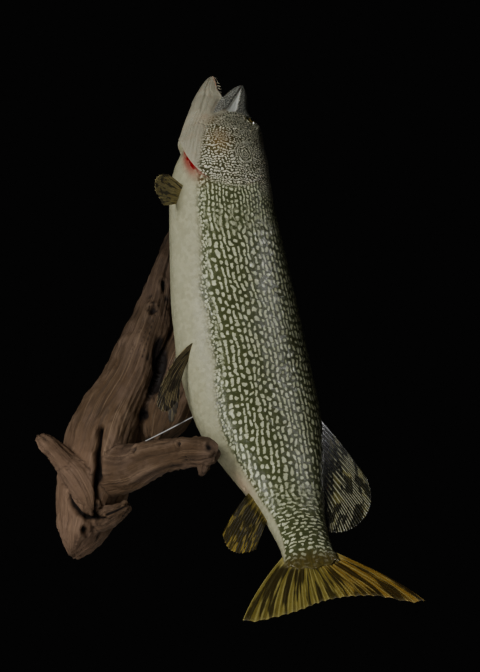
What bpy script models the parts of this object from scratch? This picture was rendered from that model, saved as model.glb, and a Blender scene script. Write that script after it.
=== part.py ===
"""Mounted northern pike on a driftwood wall mount, life size, as a still model.

Units are metres, +Z is up and the wall is the plane y = 0, with the viewer on the -Y side.
The fish is drawn straight first, in its own coordinates:
    s  distance from the tip of the snout toward the tail, along the spine
    d  height above the spine, toward the back
    l  distance to the left of the spine
The pose table then bends the spine, and every point of the fish is carried along with it.
"""

import math

import bmesh
import bpy
import numpy as np
from mathutils import Vector

# ---------------------------------------------------------------- driving dimensions

GAP = 0.0004            # clearance left between touching pieces
CUT = 0.0005            # width of the thin cuts that part the body
CUT_STEP = 0.012        # how far a cutter reaches past the skin

# Pose of the spine at stations s: lean of the spine toward the wall, tilt to the right, and turn
# of the belly toward the viewer, in degrees. The skull is rigid, so the first row holds for all of it.
POSE = (
    (0.20, 13.0, 3.0, 17.0),
    (0.22, 3.0, 1.0, 18.0),
    (0.32, -8.0, -4.0, 21.0),
    (0.42, -12.0, -9.0, 28.0),
    (0.52, -8.0, -12.0, 32.0),
    (0.62, 4.0, -16.0, 27.0),
    (0.72, 19.0, -15.0, 19.0),
    (0.82, 35.0, -12.0, 8.0),
    (0.90, 51.0, -10.0, -2.0),
)
SPINE_STEP = 0.005
SPINE_START, SPINE_END = -0.05, 1.05
ANCHOR_STATION = 0.50                     # this station of the spine ...
ANCHOR_POINT = (0.194, -0.160, 0.079)     # ... stands here, measured from the mounting face

# Trunk: station, rise of the back, drop of the belly, half width
TRUNK = (
    (0.145, 0.0615, 0.0790, 0.0430),
    (0.190, 0.0715, 0.0815, 0.0510),
    (0.215, 0.0745, 0.0815, 0.0531),
    (0.240, 0.0774, 0.0868, 0.0553),
    (0.260, 0.0800, 0.0898, 0.0570),
    (0.300, 0.0857, 0.0918, 0.0598),
    (0.350, 0.0936, 0.0950, 0.0640),
    (0.450, 0.1043, 0.1074, 0.0704),
    (0.550, 0.1064, 0.1128, 0.0704),
    (0.650, 0.0936, 0.0993, 0.0588),
    (0.700, 0.0777, 0.0800, 0.0483),
    (0.750, 0.0585, 0.0585, 0.0368),
    (0.800, 0.0436, 0.0436, 0.0273),
    (0.850, 0.0362, 0.0362, 0.0210),
    (0.880, 0.0380, 0.0380, 0.0130),
    (0.900, 0.0420, 0.0420, 0.0060),
)
FULLNESS = 0.95                           # 1 is an ellipse, less is fuller in the flanks
NAPE, MID_CUT, VENT_CUT, TAIL_END = 0.262, 0.500, 0.722, 0.900

# Upper jaw: station, height of its top, height of the lip line, half width
SNOUT = (
    (0.012, 0.0165, 0.0138, 0.0060),
    (0.015, 0.0190, 0.0127, 0.0125),
    (0.022, 0.0222, 0.0090, 0.0178),
    (0.035, 0.0252, 0.0012, 0.0230),
    (0.055, 0.0270, -0.0108, 0.0262),
    (0.075, 0.0290, -0.0203, 0.0280),
    (0.095, 0.0395, -0.0283, 0.0312),
    (0.115, 0.0535, -0.0337, 0.0368),
    (0.135, 0.0592, -0.0363, 0.0412),
    (0.144, 0.0612, -0.0367, 0.0430),
)
SKULL_STATIONS = (0.1446, 0.165, 0.190, 0.215, 0.240, NAPE - CUT)
CORNER_ANGLE = math.radians(117)          # where the mouth's corner lies around the section
PALATE_ARCH = 0.009
LIP_WALL = 0.0068

# Lower jaw: station, height of its lip, height of its keel, half width
JAW = (
    (0.0055, -0.0395, -0.0422, 0.0050),
    (0.0085, -0.0382, -0.0448, 0.0095),
    (0.0140, -0.0370, -0.0480, 0.0140),
    (0.0250, -0.0355, -0.0525, 0.0190),
    (0.0400, -0.0335, -0.0575, 0.0235),
    (0.0600, -0.0305, -0.0635, 0.0280),
    (0.0730, -0.0240, -0.0668, 0.0300),
    (0.0900, -0.0288, -0.0705, 0.0330),
    (0.1180, -0.0352, -0.0755, 0.0375),
    (0.1434, -0.0375, -0.0787, 0.0426),
)
JAW_WALL = 0.0055
MOUTH_FLOOR = 0.60                        # depth of the mouth's floor, as a share of the jaw's height

TONGUE_START, TONGUE_END, TONGUE_HALF_WIDTH, TONGUE_THICKNESS = 0.036, 0.118, 0.011, 0.006
TONGUE_LIFT = 0.0014

# Maxilla, the blade of bone along the upper lip: station, depth above the lip
MAXILLA = (
    (0.021, 0.0048),
    (0.040, 0.0102),
    (0.056, 0.0127),
    (0.075, 0.0146),
    (0.097, 0.0160),
    (0.112, 0.0130),
    (0.124, 0.0050),
)
MAXILLA_RISE, MAXILLA_SUNK = 0.0012, 0.0022

# Gill cover: angle around the section, station of its free edge
GILL_EDGE = (
    (36.0, 0.233),
    (60.0, 0.248),
    (90.0, 0.262),
    (117.0, 0.253),
    (144.0, 0.225),
    (166.0, 0.193),
    (174.0, 0.181),
)
GILL_FRONT = 0.168
GILL_THICKNESS = 0.0030
GILL_RECESS = 0.0035
GILL_LIFT, SLIT_LIFT = 0.0012, 0.0055     # how far the free edge stands off, in general and at the slit
SLIT_ANGLE, SLIT_WIDTH = 146.0, 24.0

EYE_RADIUS = 0.0115
EYE_CENTRE = (0.1120, 0.0300, 0.0225)

FIN_ROOT_THICKNESS, FIN_EDGE_THICKNESS = 0.0042, 0.0011
FIN_SUNK = 0.006                          # length of a fin's root that is cut back to the skin


# Driftwood limbs: centre x, y, z, half width, half depth
LIMB_SIDES = 12
MAIN_LIMB = (
    (0.092, -0.060, 0.375, 0.004, 0.006),
    (0.086, -0.057, 0.345, 0.009, 0.014),
    (0.073, -0.053, 0.300, 0.015, 0.025),
    (0.060, -0.050, 0.246, 0.021, 0.035),
    (0.048, -0.046, 0.175, 0.034, 0.045),
    (0.030, -0.043, 0.112, 0.042, 0.053),
    (0.008, -0.041, 0.042, 0.050, 0.060),
    (-0.021, -0.040, -0.017, 0.060, 0.063),
    (-0.036, -0.040, -0.075, 0.061, 0.063),
    (-0.048, -0.041, -0.131, 0.053, 0.060),
    (-0.056, -0.043, -0.179, 0.042, 0.052),
    (-0.064, -0.048, -0.214, 0.024, 0.036),
    (-0.068, -0.052, -0.233, 0.006, 0.012),
)
SLAB = (
    (0.190, -0.052, 0.292, 0.012, 0.012),
    (0.172, -0.050, 0.262, 0.024, 0.026),
    (0.140, -0.050, 0.190, 0.032, 0.034),
    (0.108, -0.048, 0.110, 0.036, 0.038),
    (0.082, -0.048, 0.035, 0.036, 0.040),
    (0.064, -0.048, -0.020, 0.032, 0.038),
    (0.052, -0.048, -0.052, 0.018, 0.024),
)
STUB = (
    (-0.120, -0.118, -0.058, 0.007, 0.007),
    (-0.112, -0.112, -0.066, 0.013, 0.013),
    (-0.094, -0.102, -0.082, 0.016, 0.016),
    (-0.076, -0.090, -0.102, 0.021, 0.020),
    (-0.050, -0.070, -0.128, 0.026, 0.028),
)
FLAP = (
    (-0.090, -0.098, -0.088, 0.014, 0.010),
    (-0.062, -0.098, -0.116, 0.022, 0.013),
    (-0.044, -0.096, -0.146, 0.018, 0.013),
    (-0.034, -0.092, -0.172, 0.009, 0.008),
    (-0.030, -0.090, -0.182, 0.003, 0.004),
)
BRANCH = (
    (-0.040, -0.050, -0.102, 0.042, 0.040),
    (-0.006, -0.074, -0.106, 0.040, 0.036),
    (0.024, -0.108, -0.109, 0.035, 0.032),
    (0.056, -0.148, -0.106, 0.027, 0.027),
    (0.092, -0.188, -0.105, 0.022, 0.022),
    (0.126, -0.226, -0.110, 0.020, 0.020),
    (0.146, -0.250, -0.116, 0.018, 0.018),
    (0.155, -0.259, -0.119, 0.010, 0.010),
)
SPUR = (
    (0.140, -0.240, -0.118, 0.012, 0.012),
    (0.139, -0.242, -0.132, 0.010, 0.010),
    (0.137, -0.243, -0.146, 0.003, 0.003),
)
PRONG = (
    (-0.050, -0.060, -0.176, 0.022, 0.026),
    (-0.022, -0.074, -0.180, 0.017, 0.020),
    (0.002, -0.084, -0.170, 0.012, 0.013),
    (0.018, -0.090, -0.162, 0.006, 0.007),
)

WIRE_RADIUS = 0.0010
WIRE_START, WIRE_END = (0.006, -0.072, -0.0730), (0.1255, -0.1759, -0.0407)
BOLT_RADIUS = 0.006
BOLT_START, BOLT_END = (0.140, -0.070, 0.190), (0.172, -0.150, 0.200)


# ---------------------------------------------------------------- curves and the bent spine

def through(table, column, x):
    """Smooth curve through one column of a table whose first column is the station."""
    stations = np.array([row[0] for row in table])
    values = np.array([row[column] for row in table])
    slopes = np.gradient(values, stations)
    x = np.clip(x, stations[0], stations[-1])
    i = np.clip(np.searchsorted(stations, x) - 1, 0, len(stations) - 2)
    width = stations[i + 1] - stations[i]
    t = (x - stations[i]) / width
    return (
        (2 * t**3 - 3 * t**2 + 1) * values[i]
        + (t**3 - 2 * t**2 + t) * width * slopes[i]
        + (3 * t**2 - 2 * t**3) * values[i + 1]
        + (t**3 - t**2) * width * slopes[i + 1]
    )


def smoothstep(low, high, x):
    t = np.clip((x - low) / (high - low), 0.0, 1.0)
    return t * t * (3 - 2 * t)


class Spine:
    """The bent spine: carries a point (s, d, l) of the straight fish to its place in the pose."""

    def __init__(self):
        rigid = (POSE[0][0] - 0.10,) + POSE[0][1:]
        rows = (rigid,) + POSE + ((SPINE_END,) + POSE[-1][1:],)
        self.stations = np.arange(SPINE_START, SPINE_END + SPINE_STEP / 2, SPINE_STEP)
        lean, tilt, turn = (np.radians(through(rows, k, self.stations)) for k in (1, 2, 3))
        forward = np.stack([np.sin(tilt), np.cos(tilt) * np.sin(lean), np.cos(tilt) * np.cos(lean)], 1)
        right = np.array([1.0, 0.0, 0.0]) - forward[:, :1] * forward
        right /= np.linalg.norm(right, axis=1)[:, None]
        toward = np.cross(right, forward)
        self.forward = forward
        self.back = right * np.cos(turn)[:, None] - toward * np.sin(turn)[:, None]
        self.left = np.cross(self.back, forward)
        steps = -(forward[1:] + forward[:-1]) / 2 * SPINE_STEP
        path = np.concatenate([np.zeros((1, 3)), np.cumsum(steps, 0)])
        anchor = int(round((ANCHOR_STATION - SPINE_START) / SPINE_STEP))
        self.path = path - path[anchor] + np.array(ANCHOR_POINT)

    def place(self, point):
        s, d, l = point
        x = (s - SPINE_START) / SPINE_STEP
        i = min(max(int(x), 0), len(self.stations) - 2)
        t = x - i

        def between(rows):
            return rows[i] * (1 - t) + rows[i + 1] * t

        return Vector(between(self.path) + between(self.back) * d + between(self.left) * l)


SPINE = Spine()


def signed_power(value, power):
    return math.copysign(abs(value) ** power, value)


def trunk_point(s, angle, inset=0.0):
    """Point of the trunk's skin; angle 0 is the back, 90 degrees the left flank, 180 the belly."""
    rise = through(TRUNK, 1, s) - inset
    drop = through(TRUNK, 2, s) - inset
    half_width = through(TRUNK, 3, s) - inset
    c, w = math.cos(angle), math.sin(angle)
    height = rise if c > 0 else drop
    return (s, height * signed_power(c, FULLNESS), half_width * signed_power(w, FULLNESS))


def snout_point(s, turn, inset=0.0):
    """Point of the upper jaw's outside; turn 0 is the left lip, 90 degrees the top, 180 the right lip."""
    top, lip, half_width = (through(SNOUT, k, s) for k in (1, 2, 3))
    d = lip + (top - lip) * abs(math.sin(turn)) ** 0.75
    l = half_width * signed_power(math.cos(turn), 0.62)
    centre = lip + 0.35 * (top - lip)
    reach = math.hypot(d - centre, l)
    scale = (reach - inset) / reach
    return (s, centre + (d - centre) * scale, l * scale)


# ---------------------------------------------------------------- building solids

def material(name, colour, roughness, metallic=0.0):
    finish = bpy.data.materials.new(name)
    finish.use_nodes = True
    shader = finish.node_tree.nodes["Principled BSDF"]
    shader.inputs["Base Color"].default_value = (*colour, 1.0)
    shader.inputs["Roughness"].default_value = roughness
    shader.inputs["Metallic"].default_value = metallic
    finish.diffuse_color = (*colour, 1.0)
    return finish


def finish_object(mesh, name, finish, collection, smooth=True):
    piece = bpy.data.objects.new(name, mesh)
    collection.objects.link(piece)
    if finish is not None:
        mesh.materials.append(finish)
    if smooth:
        mesh.shade_smooth()
        mesh.set_sharp_from_angle(angle=math.radians(40))
    return piece


def as_cutter(piece):
    piece.hide_render = True
    piece.display_type = "WIRE"
    return piece


def loft(name, rings, finish, collection):
    """Closed solid through rings of world points, each ring with the same number of points."""
    builder = bmesh.new()
    rows = [[builder.verts.new(point) for point in ring] for ring in rings]
    count = len(rows[0])
    for near, far in zip(rows, rows[1:]):
        for k in range(count):
            after = (k + 1) % count
            builder.faces.new((near[k], near[after], far[after], far[k]))
    builder.faces.new(list(reversed(rows[0])))
    builder.faces.new(rows[-1])
    bmesh.ops.recalc_face_normals(builder, faces=builder.faces)
    bmesh.ops.triangulate(builder, faces=[f for f in builder.faces if len(f.verts) > 4])
    mesh = bpy.data.meshes.new(name)
    builder.to_mesh(mesh)
    builder.free()
    return finish_object(mesh, name, finish, collection)


def sheet(name, outer, inner, finish, collection):
    """Closed plate between two equal grids of world points."""
    builder = bmesh.new()
    top = [[builder.verts.new(p) for p in row] for row in outer]
    low = [[builder.verts.new(p) for p in row] for row in inner]
    rows, columns = len(top), len(top[0])
    for i in range(rows - 1):
        for j in range(columns - 1):
            builder.faces.new((top[i][j], top[i][j + 1], top[i + 1][j + 1], top[i + 1][j]))
            builder.faces.new((low[i][j], low[i + 1][j], low[i + 1][j + 1], low[i][j + 1]))
    border = [(0, j) for j in range(columns)] + [(i, columns - 1) for i in range(1, rows)]
    border += [(rows - 1, j) for j in range(columns - 2, -1, -1)] + [(i, 0) for i in range(rows - 2, 0, -1)]
    for (i, j), (m, n) in zip(border, border[1:] + border[:1]):
        builder.faces.new((top[i][j], top[m][n], low[m][n], low[i][j]))
    bmesh.ops.recalc_face_normals(builder, faces=builder.faces)
    mesh = bpy.data.meshes.new(name)
    builder.to_mesh(mesh)
    builder.free()
    return finish_object(mesh, name, finish, collection)


def boolean(piece, operand, operation):
    """Cuts or joins two solids at once and keeps the result as the piece's mesh."""
    step = piece.modifiers.new(operation.title(), "BOOLEAN")
    step.operation = operation
    step.solver = "EXACT"
    step.object = operand
    bpy.context.view_layer.update()
    evaluated = piece.evaluated_get(bpy.context.evaluated_depsgraph_get())
    result = bpy.data.meshes.new_from_object(evaluated)
    piece.modifiers.remove(step)
    piece.data = result


def cut(piece, cutter):
    boolean(piece, cutter, "DIFFERENCE")


def absorb(piece, extra):
    boolean(piece, extra, "UNION")
    bpy.data.objects.remove(extra)


def rod(name, start, end, radius, finish, collection, sides=10, past=0.0):
    """Straight round rod between two points, lengthened by the same amount at both ends."""
    start, end = Vector(start), Vector(end)
    axis = (end - start).normalized()
    start, end = start - axis * past, end + axis * past
    bpy.ops.mesh.primitive_cylinder_add(vertices=sides, radius=radius, depth=(end - start).length)
    piece = bpy.context.object
    piece.name = piece.data.name = name
    piece.location = (start + end) / 2
    piece.rotation_mode = "QUATERNION"
    piece.rotation_quaternion = axis.to_track_quat("Z", "Y")
    for holder in list(piece.users_collection):
        holder.objects.unlink(piece)
    collection.objects.link(piece)
    if finish is not None:
        piece.data.materials.append(finish)
    piece.data.shade_smooth()
    piece.data.set_sharp_from_angle(angle=math.radians(40))
    return piece


# ---------------------------------------------------------------- head

AROUND_TOP = 12


def snout_ring(s):
    """Section of the upper jaw: over the top from the left lip, then back along the palate."""
    ring = [snout_point(s, math.pi * k / AROUND_TOP) for k in range(AROUND_TOP + 1)]
    lip, half_width = through(SNOUT, 2, s), through(SNOUT, 3, s)
    inner = max(half_width - LIP_WALL, 0.4 * half_width)
    arch = PALATE_ARCH * smoothstep(0.012, 0.05, s)
    for k in range(1, AROUND_TOP):
        across = -math.cos(math.pi * k / AROUND_TOP)
        ring.append((s, lip + 0.0005 + arch * (1 - across**4), across * inner))
    return [SPINE.place(p) for p in ring]


def skull_ring(s):
    """Full section behind the mouth, with its points in the same order as the upper jaw's."""
    side = [CORNER_ANGLE * (1 - 2 * k / AROUND_TOP) for k in range(AROUND_TOP + 1)]
    under = [-CORNER_ANGLE - (2 * math.pi - 2 * CORNER_ANGLE) * k / AROUND_TOP for k in range(1, AROUND_TOP)]
    return [SPINE.place(trunk_point(s, angle)) for angle in side + under]


def teeth(stations, height, side, sink, host, collection):
    """Row of conical teeth along one side of a jaw, joined to the jaw they grow from."""
    for s, radius, length in stations:
        d, l = height(s), side(s)
        direction = (SPINE.place((s - 0.2 * length, d + math.copysign(length, sink), l)) - SPINE.place((s, d, l)))
        base = SPINE.place((s, d - math.copysign(0.0015, sink), l))
        bpy.ops.mesh.primitive_cone_add(vertices=5, radius1=radius, radius2=0.0, depth=length)
        tooth = bpy.context.object
        tooth.rotation_mode = "QUATERNION"
        tooth.rotation_quaternion = direction.to_track_quat("Z", "Y")
        tooth.location = base + direction.normalized() * length / 2
        for holder in list(tooth.users_collection):
            holder.objects.unlink(tooth)
        collection.objects.link(tooth)
        absorb(host, tooth)


def build_head(parts, cutters):
    flesh = material("pike_head", (0.30, 0.31, 0.20), 0.30)
    stations = [row[0] for row in SNOUT]
    rings = [snout_ring(s) for s in stations] + [skull_ring(s) for s in SKULL_STATIONS]
    head = loft("head", rings, flesh, parts)
    upper_row = [(s, 0.0012, 0.0045) for s in (0.022, 0.031, 0.041, 0.052, 0.064)]
    for sign in (1, -1):
        teeth(
            upper_row,
            lambda s: through(SNOUT, 2, s) + 0.001,
            lambda s, sign=sign: sign * (through(SNOUT, 3, s) - 0.0047),
            -1,
            head,
            cutters,
        )
    return head


def build_lower_jaw(parts, cutters):
    flesh = material("pike_lower_jaw", (0.78, 0.75, 0.66), 0.30)

    def ring(s):
        lip, keel, half_width = (through(JAW, k, s) for k in (1, 2, 3))
        points = []
        for k in range(AROUND_TOP + 1):
            turn = math.pi * k / AROUND_TOP
            points.append((s, lip - (lip - keel) * math.sin(turn) ** 0.9, half_width * signed_power(math.cos(turn), 0.8)))
        inner = max(half_width - JAW_WALL, 0.35 * half_width)
        depth = MOUTH_FLOOR * (lip - keel) * smoothstep(0.008, 0.03, s)
        for k in range(1, AROUND_TOP):
            across = -math.cos(math.pi * k / AROUND_TOP)
            points.append((s, lip - 0.0005 - depth * (1 - across**4), across * inner))
        return [SPINE.place(p) for p in points]

    jaw = loft("lower_jaw", [ring(row[0]) for row in JAW], flesh, parts)
    lower_row = [(0.010, 0.0010, 0.0045), (0.017, 0.0012, 0.0055), (0.025, 0.0013, 0.0065)]
    lower_row += [(0.036 + 0.0125 * k, 0.0018, 0.0085) for k in range(3)]
    for sign in (1, -1):
        teeth(
            lower_row,
            lambda s: through(JAW, 1, s) - 0.001,
            lambda s, sign=sign: sign * (through(JAW, 3, s) - 0.0032),
            1,
            jaw,
            cutters,
        )
    return jaw


def build_tongue(parts):
    flesh = material("pike_tongue", (0.80, 0.62, 0.55), 0.35)
    count = 6
    rings = []
    for k in range(count + 1):
        share = k / count
        s = TONGUE_START + (TONGUE_END - TONGUE_START) * share
        lip, keel = through(JAW, 1, s), through(JAW, 2, s)
        bed = lip - 0.0005 - MOUTH_FLOOR * (lip - keel) + TONGUE_LIFT
        half_width = TONGUE_HALF_WIDTH * (0.35 + 0.65 * math.sin(math.pi * (0.12 + 0.5 * share)))
        thickness = TONGUE_THICKNESS * (0.5 + 0.5 * share)
        ring = []
        for j in range(10):
            turn = 2 * math.pi * j / 10
            ring.append((s, bed + thickness / 2 * (1 + math.sin(turn)), half_width * math.cos(turn)))
        rings.append([SPINE.place(p) for p in ring])
    return loft("tongue", rings, flesh, parts)


def build_maxilla(name, sign, parts, cutters, head):
    bone = material(name, (0.42, 0.43, 0.38), 0.30)

    def grid(margin, inset):
        start, end = MAXILLA[0][0] - margin, MAXILLA[-1][0] + margin
        rows = []
        for k in range(11):
            s = start + (end - start) * k / 10
            top, lip = through(SNOUT, 1, s), through(SNOUT, 2, s)
            share = (through(MAXILLA, 1, s) + margin) / (top - lip)
            limit = math.asin(min(share, 0.9) ** (1 / 0.75))
            row = []
            for j in range(4):
                turn = limit * j / 3
                point = snout_point(s, turn, inset)
                lowered = point[1] - (CUT_STEP / 4 if j == 0 and margin > 0 else 0.0)
                row.append(SPINE.place((s, lowered, sign * point[2])))
            rows.append(row)
        return rows

    cutter = as_cutter(
        sheet(
            name + "_recess",
            grid(GAP, -CUT_STEP),
            grid(GAP, MAXILLA_SUNK + GAP),
            None,
            cutters,
        )
    )
    cut(head, cutter)
    return sheet(
        name,
        grid(-GAP, -MAXILLA_RISE),
        grid(-GAP, MAXILLA_SUNK),
        bone,
        parts,
    )


def gill_lift(s, degrees, edge):
    """How far the gill cover stands off the body, most at the open slit low on the side."""
    slit = math.exp(-(((degrees - SLIT_ANGLE) / SLIT_WIDTH) ** 2))
    return (GILL_LIFT + SLIT_LIFT * slit) * float(smoothstep(GILL_FRONT + 0.2 * (edge - GILL_FRONT), edge, s))


def build_gill_cover(name, sign, parts, cutters, hosts):
    bone = material(name, (0.34, 0.35, 0.22), 0.28)
    first, last = GILL_EDGE[0][0], GILL_EDGE[-1][0]

    def grid(lift, inset, front, past, spread):
        rows = []
        for k in range(13):
            degrees = first - spread + (last - first + 2 * spread) * k / 12
            edge = float(through(GILL_EDGE, 1, np.clip(degrees, first, last))) + past
            row = []
            for j in range(7):
                s = front + (edge - front) * j / 6
                raised = gill_lift(s, degrees, edge) if lift else 0.0
                point = trunk_point(s, sign * math.radians(degrees), inset - raised)
                row.append(SPINE.place(point))
            rows.append(row)
        return rows

    cutter = as_cutter(
        sheet(
            name + "_recess",
            grid(False, -CUT_STEP, GILL_FRONT - GAP, CUT, 0.6),
            grid(False, GILL_RECESS, GILL_FRONT - GAP, CUT, 0.6),
            None,
            cutters,
        )
    )
    for host in hosts:
        cut(host, cutter)
    return sheet(
        name,
        grid(True, 0.0, GILL_FRONT, 0.0, 0.0),
        grid(True, GILL_THICKNESS, GILL_FRONT, 0.0, 0.0),
        bone,
        parts,
    )


def build_eye(name, sign, parts, cutters, head):
    glass = material(name, (0.75, 0.62, 0.20), 0.05)
    s, d, l = EYE_CENTRE
    place = SPINE.place((s, d, sign * l))
    for label, radius, holder in ((name, EYE_RADIUS, parts), (name + "_socket", EYE_RADIUS + GAP, cutters)):
        bpy.ops.mesh.primitive_uv_sphere_add(segments=14, ring_count=8, radius=radius, location=place)
        ball = bpy.context.object
        ball.name = ball.data.name = label
        for old in list(ball.users_collection):
            old.objects.unlink(ball)
        holder.objects.link(ball)
        ball.data.shade_smooth()
        if holder is cutters:
            cut(head, as_cutter(ball))
        else:
            ball.data.materials.append(glass)


# ---------------------------------------------------------------- trunk and fins

def trunk_solid(name, start, end, count, sides, finish, collection, inset=0.0):
    rings = []
    for k in range(count + 1):
        s = start + (end - start) * k / count
        rings.append([SPINE.place(trunk_point(s, 2 * math.pi * j / sides, inset)) for j in range(sides)])
    return loft(name, rings, finish, collection)


def fin(name, root, direction, length, colour, parts, rays=12, steps=5, sway=0.0):
    """Thin fan of rays; root(u), direction(u, v) and length(u) run along the root, u from 0 to 1."""
    finish = material(name, colour, 0.35)
    spread = np.cross(np.array(root(1.0)) - np.array(root(0.0)), direction(0.5, 0.0))
    spread /= np.linalg.norm(spread)
    sides = []
    for sign in (1, -1):
        grid = []
        for i in range(rays + 1):
            u = i / rays
            point = np.array(root(u), float) - FIN_SUNK * np.array(direction(u, 0.0))
            row = []
            reach = length(u) + FIN_SUNK
            for j in range(steps + 1):
                v = j / steps
                thickness = FIN_ROOT_THICKNESS + (FIN_EDGE_THICKNESS - FIN_ROOT_THICKNESS) * v**0.7
                if j:
                    point = point + np.array(direction(u, (j - 0.5) / steps)) * reach / steps
                bend = sway * v * v * math.sin(2 * math.pi * u)
                offset = spread * (sign * thickness / 2 + bend)
                row.append(SPINE.place(point + offset))
            grid.append(row)
        sides.append(grid)
    return sheet(name, sides[0], sides[1], finish, parts)


def in_plane(degrees):
    """Unit vector in the fish's upright plane, measured from tailward up toward the back."""
    angle = math.radians(degrees)
    return (math.cos(angle), math.sin(angle), 0.0)


def build_median_fins(parts):
    dorsal = fin(
        "dorsal_fin",
        lambda u: (0.626 + 0.150 * u, through(TRUNK, 1, 0.626 + 0.150 * u), 0.0),
        lambda u, v: in_plane(21 - 30 * u**3 + 24 * (0.5 - v) * (1 - 0.5 * u)),
        lambda u: 0.119 - 0.020 * u - 0.050 * u**3,
        (0.30, 0.30, 0.20),
        parts,
        rays=14,
        sway=0.003,
    )
    anal = fin(
        "anal_fin",
        lambda u: (0.748 + 0.052 * u, -through(TRUNK, 2, 0.748 + 0.052 * u), 0.0),
        lambda u, v: in_plane(-37 + 9 * u + 18 * (v - 0.5) * (1 - 0.6 * u)),
        lambda u: 0.086 + 0.050 * u - 0.081 * u**2,
        (0.45, 0.35, 0.12),
        parts,
        rays=10,
        sway=0.002,
    )

    def caudal_length(u):
        lobe = abs(2 * u - 1)
        return 0.077 + 0.066 * lobe**2 - 0.008 * max(0.0, (lobe - 0.86) / 0.14) ** 2

    caudal = fin(
        "caudal_fin",
        lambda u: (0.893 - 0.022 * abs(2 * u - 1) ** 3, 0.040 * (2 * u - 1), 0.0),
        lambda u, v: in_plane(signed_power(2 * u - 1, 0.9) * (40 - 20 * v)),
        caudal_length,
        (0.50, 0.42, 0.14),
        parts,
        rays=20,
        steps=4,
        sway=0.004,
    )
    return [dorsal, anal, caudal]


def slanted(tailward, back, left):
    vector = np.array([tailward, back, left])
    return vector / np.linalg.norm(vector)


# Paired fins: front and rear ends of the root, first ray, last ray, greatest length, how much
# shorter the last ray is, and how far the rays droop
PAIRED_FINS = (
    ("pectoral_fin_left", (0.262, -0.0745, 0.0270), (0.279, -0.0815, 0.0155),
     (0.08, -0.70, 0.71), (0.54, -0.64, 0.54), 0.091, 0.42, (0.0, 0.0, 0.0)),
    ("pectoral_fin_right", (0.266, -0.0600, -0.0410), (0.284, -0.0670, -0.0360),
     (0.94, 0.26, -0.28), (0.95, 0.00, -0.30), 0.094, 0.30, (0.0, 0.0, 0.0)),
    ("pelvic_fin_left", (0.499, -0.1045, 0.0265), (0.523, -0.1110, 0.0130),
     (0.62, -0.72, 0.04), (0.93, -0.36, 0.10), 0.118, 0.10, (0.70, 0.75, 0.0)),
    ("pelvic_fin_right", (0.502, -0.1040, -0.0270), (0.527, -0.1100, -0.0150),
     (0.88, -0.36, -0.30), (0.95, -0.18, -0.20), 0.098, 0.15, (0.2, 0.1, 0.0)),
)


def build_paired_fins(parts):
    """The left pair stands out from the body; the right pair lies back along the flank."""
    fins = []
    for name, front, rear, lead, trail, reach, shorter, droop in PAIRED_FINS:
        front, rear, lead, trail, droop = (np.array(v) for v in (front, rear, lead, trail, droop))
        fins.append(
            fin(
                name,
                lambda u, front=front, rear=rear: front + (rear - front) * u,
                lambda u, v, lead=lead, trail=trail, droop=droop: slanted(
                    *(lead * (1 - u) + trail * u + droop * (v - 0.35))
                ),
                lambda u, reach=reach, shorter=shorter: reach
                * (0.78 + 0.22 * math.sin(math.pi * (0.16 + 0.66 * u)))
                * (1 - shorter * u**2),
                (0.42, 0.36, 0.18),
                parts,
                rays=9,
                steps=5,
                sway=0.002,
            )
        )
    return fins


# ---------------------------------------------------------------- driftwood and fixings

def limb(name, stations, finish, collection, phase):
    """Weathered limb: an uneven loft around a bent axis."""
    centres = [Vector(row[:3]) for row in stations]
    rings = []
    for k, (x, y, z, half_width, half_depth) in enumerate(stations):
        before, after = centres[max(k - 1, 0)], centres[min(k + 1, len(centres) - 1)]
        along = (after - before).normalized()
        side = along.cross(Vector((0, -1, 0)))
        side = side.normalized() if side.length > 0.2 else Vector((0, 0, 1))
        front = side.cross(along).normalized()
        ring = []
        for j in range(LIMB_SIDES):
            turn = 2 * math.pi * j / LIMB_SIDES
            uneven = 1 + 0.07 * math.sin(3 * turn + phase) + 0.04 * math.sin(5 * turn + 2.1 * phase + 0.6 * k)
            ring.append(
                centres[k] + side * (half_width * uneven * math.cos(turn)) + front * (half_depth * uneven * math.sin(turn))
            )
        rings.append(ring)
    return loft(name, rings, finish, collection)


def build_driftwood(parts, cutters):
    bark = material("driftwood", (0.36, 0.27, 0.20), 0.75)
    wood = limb("driftwood", MAIN_LIMB, bark, parts, 0.4)
    others = (("slab", SLAB), ("stub", STUB), ("flap", FLAP), ("branch", BRANCH), ("spur", SPUR), ("prong", PRONG))
    for k, (label, stations) in enumerate(others):
        absorb(wood, limb(label, stations, bark, cutters, 1.3 * k + 0.9))
    bpy.ops.mesh.primitive_cube_add(size=1.0, location=(0, 0.5, 0))
    wall = bpy.context.object
    wall.name = "wall_plane"
    for holder in list(wall.users_collection):
        holder.objects.unlink(wall)
    cutters.objects.link(wall)
    cut(wood, as_cutter(wall))
    return wood


def build_fixings(parts, cutters, wood, bodies):
    steel = material("bright_wire", (0.80, 0.80, 0.78), 0.25, 1.0)
    dark_steel = material("mount_bolt", (0.45, 0.45, 0.46), 0.40, 1.0)
    for name, start, end, radius, finish, sides in (
        ("mount_wire", WIRE_START, WIRE_END, WIRE_RADIUS, steel, 8),
        ("mount_bolt", BOLT_START, BOLT_END, BOLT_RADIUS, dark_steel, 14),
    ):
        rod(name, start, end, radius, finish, parts, sides)
        hole = as_cutter(rod(name + "_hole", start, end, radius + GAP, None, cutters, sides, GAP))
        for host in [wood] + bodies:
            cut(host, hole)


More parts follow.
